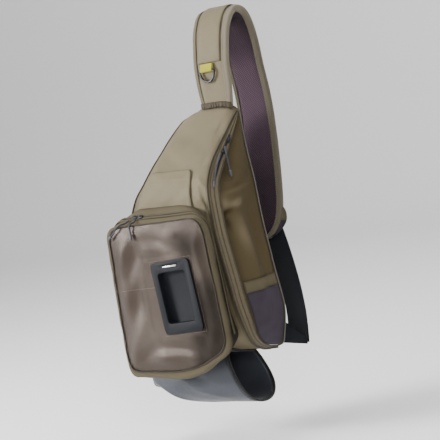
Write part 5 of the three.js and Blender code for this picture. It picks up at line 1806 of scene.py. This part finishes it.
@dataclass
class Strap(Assembly):
    """Padded shoulder strap with its bindings, overlay, tab, ring and webbing."""

    rows: int = 220
    cover: float = 3
    cover_swell: float = 0.8
    binding_wide: float = 10
    binding_thick: float = 1.2
    overlay_wide: float = 50
    overlay_foot: float = 78
    overlay_end: float = 109
    binding_corner: float = 2.6
    frill_top: float = 11
    tongue_top: float = 0.79
    tongue_out: float = 11
    wire_extra: float = 0.35
    webbing_wide: float = 50
    webbing_foot: float = 424
    webbing_turn: float = 13
    anchor_x: tuple[float, float] = (40.0, 89.0)
    anchor_y: tuple[float, float] = (-7.5, -1.8)
    anchor_top: tuple[float, float] = (-372.0, -411.0)
    anchor_foot: tuple[float, float] = (-421.0, -426.0)

    def build(self) -> None:
        """Makes every piece of the strap."""
        self.cloth()
        self.bindings()
        self.overlay()
        self.foot()
        self.hardware()
        self.webbing()

    def cloth(self) -> None:
        """Outer cloth and the padded mesh on the wearer's side."""
        t = steps(self.rows)[:, None]
        edge = LOOP.half(t) - 2.6
        x = edge * steps(24, -1, 1)[None, :]
        t = np.broadcast_to(t, x.shape)
        body = LOOP.body(x, t)
        calm = 1 - (x / np.maximum(edge, 1)) ** 4
        wave = 0.5 * crumple(LOOP.at(x, body, t), 34, 15) * calm
        outer = LOOP.at(x, body + self.cover_swell * calm + wave - 0.2, t)
        outer[0, :, 2] -= 4
        inner = LOOP.at(x, body - np.minimum(self.cover, body * 1.2), t)
        self.sew("strap_cloth", outer, inner, SHELL_CLOTH, "shell_cloth", "strap_cover")
        low = -body
        high = np.maximum(body - np.minimum(self.cover, body * 1.2) - SHELL.gap, low + 1.2)
        outer = LOOP.at(x, high, t)
        z = outer[..., 2]
        # Painted shade over the top and the low part of the mesh, a little painted light between them.
        tone = 0.62 * within((z - 60) / 40) + 0.5 * within((-100 - z) / 50)
        tone = tone - 0.12 * bell(z + 15, 50)
        made = cloth_piece("strap_padding", outer, LOOP.at(x, low, t), self.wear(STRAP_MESH), tone=tone)
        stuffed(made, None, 4, 1.4)
        settle(made, "strap_mesh", "strap_pad")

    def bindings(self) -> None:
        """Bindings folded round both edges, each with a row of stitches."""
        turn = steps(12, math.pi / 2, -math.pi / 2)
        for name, side, finish in (("left", -1, BINDING), ("right", 1, BINDING_LIGHT)):
            t = steps(self.rows)[:, None]
            half = LOOP.half(t)
            corner = self.binding_corner
            lip = half - self.binding_wide
            flat_x = mix(lip, half - corner, steps(5)[None, :-1])
            arc_x = half - corner + corner * np.maximum(0, np.cos(turn))[None, :]
            x = np.concatenate([flat_x, arc_x, flat_x[:, ::-1]], axis=1)
            t_all = np.broadcast_to(t, x.shape)
            sign = np.concatenate([flat_x[0] * 0 + 1, np.sin(turn), flat_x[0] * 0 - 1])[None, :]
            body = LOOP.body(np.minimum(x, half - corner * 0.5), t_all) + SHELL.gap
            rise = self.binding_thick * (1 + 0.12 * crumple(LOOP.at(side * x, body, t_all), 12, 31))
            outer = LOOP.at(side * x, sign * (body + rise), t_all)
            inner = LOOP.at(side * np.minimum(x, half - self.binding_thick), sign * body, t_all)
            # Painted shade on the bindings past the strap's top, on its far side.
            far = 0.5 * within((t_all - APEX) * 6)
            self.sew(f"{name}_binding", outer, inner, finish, "binding", f"strap_binding_{name}",
                     edge=1.5, tone=far)
            ts = steps(900, 0.02, 0.97)
            row = LOOP.half(ts) - self.binding_wide + 2.2
            lift = LOOP.body(row, ts) + SHELL.gap + self.binding_thick + 0.15
            lines = [LOOP.at(side * row, lift, ts), LOOP.at(side * row, -lift, ts)]
            self.stitch(f"{name}_binding_stitches", lines, Beads.STITCH, THREAD, "binding")

    def overlay(self) -> None:
        """Raised panel over the shoulder, stitched all round."""
        start = LOOP.station(self.overlay_foot, False)
        end = LOOP.station(self.overlay_end, True)
        half = self.overlay_wide / 2
        x, t = np.meshgrid(steps(20, -half, half), steps(120, start, end))
        base = LOOP.body(x, t) + self.cover_swell + SHELL.gap
        edge = np.minimum(half - np.abs(x), 6) / 6
        rise = 0.9 + 0.7 * edge**0.5 + 0.3 * crumple(LOOP.at(x, base, t), 24, 2)
        outer, inner = LOOP.at(x, base + rise, t), LOOP.at(x, base, t)
        self.sew("overlay_cloth", outer, inner, SHELL_CLOTH, "shell_cloth", "strap_overlay", edge=2)
        ts = steps(300, start, end)
        inset = np.full_like(ts, half - 3)
        lift = LOOP.body(inset, ts) + self.cover_swell + 2.0
        lines = [LOOP.at(s * inset, lift, ts) for s in (-1, 1)]
        across = steps(30, -half + 3, half - 3)
        for place in (start + 0.008, end - 0.005):
            lift = LOOP.body(across, place) + self.cover_swell + 2.1
            lines.append(LOOP.at(across, lift, np.full_like(across, place)))
        self.stitch("overlay_stitches", lines, Beads.STITCH, THREAD, "shell_cloth")

    def foot(self) -> None:
        """Gathered seam across the strap's foot, and the tongue on its end."""
        half = LOOP.half(0.05) - 3
        x, t = np.meshgrid(steps(120, -half, half), steps(12, 0, LOOP.station(self.frill_top, False)))
        share = t / t.max()
        gather = 0.5 + 0.5 * np.sin(x * 0.8 + 2.6 * np.sin(x * 0.17))
        ripple = (0.3 + 2.0 * gather) * (1 - share) ** 0.7 * (0.3 + 0.7 * np.sin(x * 0.31 + 0.6) ** 2)
        base = LOOP.body(x, t) + self.cover_swell + 0.5
        outer, inner = LOOP.at(x, base + ripple + 0.4, t), LOOP.at(x, base - 1.0, t)
        drop = (5 - 1.5 * gather) * (1 - share) ** 2
        outer[..., 2] -= drop
        inner[..., 2] -= drop
        # The frill's darker cloth is painted shade in its gathers.
        self.sew("foot_frill", outer, inner, SHADED_GATHER_CLOTH, "side_cloth", "strap_foot_frill", edge=3)
        for name, low, high, finish, nodes in (
            ("end_tongue", 0.0, 0.46, BINDING, ("strap_end_flap",)),
            ("end_tongue_tip", 0.44, 1.0, FELT, ()),
        ):
            s, u = np.meshgrid(steps(20, low, high), steps(10), indexing="ij")
            z = -mix(self.tongue_top, 1.0, s) * LOOP.fall
            ts = np.vectorize(lambda at: LOOP.station(at, True))(z)
            bow = np.sin(math.pi * within(s)) ** 0.7
            near = LOOP.wide * STRAP("side", ts) + LOOP.half(ts) - 5
            x = near + u * (5 + self.tongue_out * bow)
            y = LOOP.line(ts)[0] - 2 * u + 1.5
            thick = 1.4 + 1.6 * np.sin(math.pi * within(u)) * bow
            self.sew(name, point(x, y - thick, z), point(x, y + thick, z), finish, "side_cloth", *nodes)

    def hardware(self) -> None:
        """Webbing tab and the ring that swings in it."""
        tab = bevelled("ring_tab", "tab_tape", self.wear(TAB_CLOTH), 0.4, 40)
        settle(tab, "tab_webbing", "ring_tab")
        ring = subdivided(copy_of("d_ring", "ring_wire", self.wear(RING_METAL)), 2)
        push(ring, lambda p: np.full(len(p), self.wire_extra))
        settle(ring, "ring_metal", "d_ring", body=RING_BODY)

    def webbing(self) -> None:
        """Ribbed webbing from the strap's end to the bag's lower corner."""
        s, t = np.meshgrid(steps(20, -0.5, 0.5), steps(90))
        x = self.webbing_wide * (WEBBING("side", t) + s)
        turned = self.webbing_turn * within((t - 0.2) * 2) * (0.5 - s)
        y = LOOP.back * WEBBING("back", t) + turned + 0.8 * np.sin(t * 9) * s
        z = -self.webbing_foot * WEBBING("down", t)
        outer, inner = point(x, y, z), point(x, y + 1.9, z)
        self.sew("side_webbing_tape", outer, inner, WEBBING_CLOTH, "webbing", "side_webbing", edge=1.5)
        u, v = np.meshgrid(steps(14), steps(10))
        y = mix(*self.anchor_y, u) - 2.0 * np.sin(math.pi * u) * np.sin(math.pi * v)
        z = mix(mix(*self.anchor_top, u**0.8), mix(*self.anchor_foot, u), v)
        face = point(mix(*self.anchor_x, u), y, z)
        self.sew("webbing_anchor", face, face + np.array([0, 2.2, 0]), WEBBING_CLOTH, "webbing", edge=1.5)


@dataclass
class Sleeve(Assembly):
    """Open bottle sleeve under the bottom."""

    tall: float = 43
    deep: float = 46
    cloth: float = 2.2
    long: float = 205
    mouth_x: float = 6
    slant: float = 0.46
    y: float = -64
    z: float = -465
    sides: int = 120
    hug: float = 1.45
    folds: tuple[tuple[float, float, float, float], ...] = (
        (2.0, 3.0, 0.17, 1.0), (2.42, 3.0, 0.15, -0.9), (0.6, 2.6, 0.2, 0.8), (0.15, 2.2, 0.2, -0.7),
        (3.6, 3.2, 0.14, 0.7), (5.6, 0.6, 0.2, -0.6),
    )

    def ring(self, t: float, wall: float, along: float = 0.0, crease: float = 0.0) -> Array:
        """One ring of the sleeve.

        Args:
            t: share of its length, 0 at the closed end.
            wall: distance inside the outer surface, mm.
            along: distance past the mouth, mm.
            crease: height of its folds, mm.

        Returns:
            Its points.
        """
        turn = TURN * np.arange(self.sides) / self.sides
        up, out = np.sin(turn), np.cos(turn)
        reach = np.where(up < 0, SLEEVE("low", t), SLEEVE("high", t) * self.hug)
        folded = np.zeros_like(turn)
        for start, lean, spread, rise in self.folds:
            away = (turn - start + lean * t + math.pi) % TURN - math.pi
            folded = folded + crease * rise * bell(away, spread)
        inward = wall - folded
        wide = np.sign(out) * np.abs(out) ** np.where(up > 0, 0.7, 0.92)
        y = self.y - (self.deep * SLEEVE("deep", t) - inward) * wide
        under = -0.338 * POUCH.high + POUCH.z + np.minimum(0, y + 96) * 0.78
        ceiling = np.minimum(SHELL.bottom_z(y), under) - 1.2 - wall
        z = np.minimum(self.z + np.sign(up) * np.abs(up) ** 0.9 * (self.tall * reach - inward), ceiling)
        mouth = self.mouth_x - self.slant * (z - self.z)
        x = mouth - (1 - SLEEVE("along", t)) * (mouth - self.mouth_x + self.long)
        return point(x + along, y, z)

    def build(self) -> None:
        """Makes the sleeve and the elastic at its mouth."""
        ts = steps(60)
        crease = 3.0 * np.sin(math.pi * within(ts * 1.08)) ** 0.9
        outer = [self.ring(t, 0, crease=c) for t, c in zip(ts, crease)]
        outer = [r + (crumple(r, 45, 6) * 0.6 * min(1, (1 - t) * 8))[:, None] * (0, -0.8, 0)
                 for r, t in zip(outer, ts)]
        inner = [self.ring(t, self.cloth, self.cloth if t == 0 else 0) for t in ts]
        hub_out = np.repeat(outer[0].mean(0, keepdims=True), self.sides, 0)
        hub_in = np.repeat(inner[0].mean(0, keepdims=True), self.sides, 0)
        grid = np.array([hub_out, *outer, *inner[::-1], hub_in])
        faces = grid_faces(len(grid), self.sides, True)
        uv = lengths(grid)
        made = mesh_object("sleeve_shell", grid.reshape(-1, 3), faces, self.wear(SLEEVE_CLOTH),
                           uv.reshape(-1, 2))
        settle(made, "sleeve_cloth", "bottle_sleeve")
        rings = [(0, 0.4), (-0.4, 0.9), (-0.5, 2.2), (-0.5, 5), (-0.3, 6.4), (0.3, 7.0), (1.1, 7.1),
                 (1.9, 7.0), (2.6, 6.2), (2.7, 2.2), (2.2, 0.4)]
        grid = np.array([self.ring(1.0, wall, along) for wall, along in rings] + [self.ring(1.0, 0, 0.4)])
        made = mesh_object("mouth_band", grid.reshape(-1, 3), grid_faces(len(grid), self.sides, True),
                           self.wear(ELASTIC), lengths(grid).reshape(-1, 2))
        settle(made, "elastic", "sleeve_band")


@dataclass
class Pulls(Assembly):
    """Zip sliders and their pull cords with moulded tips."""

    points: int = 24
    tip_profile: tuple[tuple[float, float], ...] = (
        (0.0, 0.55), (0.08, 0.9), (0.2, 1.0), (0.35, 0.86),
        (0.5, 0.98), (0.7, 0.8), (0.9, 0.72), (1.0, 0.4),
    )

    def build(self) -> None:
        """Makes every slider, cord and tip."""
        for pull in PULLS:
            self.slider(pull)
            self.cord(pull)

    def slider(self, pull: PullCord) -> None:
        """Rounded copy of the slider."""
        made = bevelled(f"slider_{pull.name}", f"slider_body_{pull.name}", self.wear(SLIDER_METAL), 0.5)
        settle(made, "slider_metal", f"slider_{pull.name}")

    def cord(self, pull: PullCord) -> None:
        """Cord along its points, with its tip."""
        path = smooth_path(np.array(pull.points), self.points)
        made = tube(f"cord_{pull.name}", path, pull.radius, self.wear(CORD), 12)
        way = path[-1] - path[-2]
        way /= np.linalg.norm(way)
        start = path[-1] + way * SHELL.gap
        line = np.array([start + way * pull.tip_long * share for share, _ in self.tip_profile])
        radius = np.array([pull.tip_radius * size for _, size in self.tip_profile])
        tip = tube(f"tip_{pull.name}", line, radius, self.wear(TIP), 12)
        settle(made, "pull_cord", f"pull_cord_{pull.name}")
        settle(tip, "pull_tip", f"pull_tip_{pull.name}")
        placed = to_frame(path)
        tuple(placed[0])
        [tuple(p) for p in placed]


@dataclass
class Studio:
    """Pale floor, plain light and world."""

    floor_z: float = -0.74
    reach: float = 14.0
    sweep_y: float = 2.6
    sweep_r: float = 1.6
    key: float = 148.0
    fill: float = 42.0
    top: float = 60.0
    world: float = 0.5
    horizon: float = 1.15
    horizon_rise: tuple[float, float] = (0.12, 0.4)

    def build(self) -> None:
        """Makes the floor and the lights."""
        bend = [(self.sweep_y + self.sweep_r * math.sin(a), self.floor_z + self.sweep_r * (1 - math.cos(a)))
                for a in steps(16, 0, math.pi / 2)]
        line = [(-self.reach, self.floor_z), *bend, (bend[-1][0], self.reach)]
        data = bpy.data.meshes.new("floor")
        data.from_pydata([(x, y, z) for y, z in line for x in (-self.reach, self.reach)], [],
                         [(2 * i, 2 * i + 1, 2 * i + 3, 2 * i + 2) for i in range(len(line) - 1)])
        data.shade_smooth()
        net = Net("floor_paint")
        net.set(Base_Color=(0.9, 0.9, 0.9, 1.0), Roughness=0.9)
        data.materials.append(net.material)
        linked("floor", data)
        world = bpy.data.worlds.new("studio")
        world.use_nodes = True
        shade = world.node_tree.nodes["Background"]
        shade.inputs["Color"].default_value = (1.0, 1.0, 1.0, 1.0)
        nodes, links = world.node_tree.nodes, world.node_tree.links
        way, split = nodes.new("ShaderNodeTexCoord"), nodes.new("ShaderNodeSeparateXYZ")
        ramp = nodes.new("ShaderNodeMapRange")
        for key, value in zip(("From Min", "From Max", "To Min", "To Max"),
                              (*self.horizon_rise, self.horizon, self.world)):
            ramp.inputs[key].default_value = value
        links.new(way.outputs["Generated"], split.inputs[0])
        links.new(split.outputs["Z"], ramp.inputs["Value"])
        links.new(ramp.outputs["Result"], shade.inputs["Strength"])
        bpy.context.scene.world = world
        for name, place, size, power in (
            ("key", (-1.9, -1.9, 0.45), 0.9, self.key),
            ("fill", (1.9, -2.3, 0.7), 0.5, self.fill),
            ("top", (-0.3, -0.5, 2.2), 1.4, self.top),
        ):
            light = bpy.data.lights.new(name, "AREA")
            light.size, light.energy = size, power
            lamp = linked(name, light)
            lamp.location = place
            way = Vector((0, -0.08, -0.33)) - Vector(place)
            lamp.rotation_mode = "QUATERNION"
            lamp.rotation_quaternion = way.to_track_quat("-Z", "Y")


def main() -> None:
    """Builds the bag in order."""
    logging.basicConfig(level=logging.INFO, format="%(message)s")
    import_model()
    Shot().aim()
    wear = Wardrobe()
    for part in (Pulls(wear), MainBody(wear), Pocket(wear), Strap(wear), Sleeve(wear)):
        LOG.info("building %s", type(part).__name__)
        part.build()
    Studio().build()


if __name__ == "__main__":
    main()
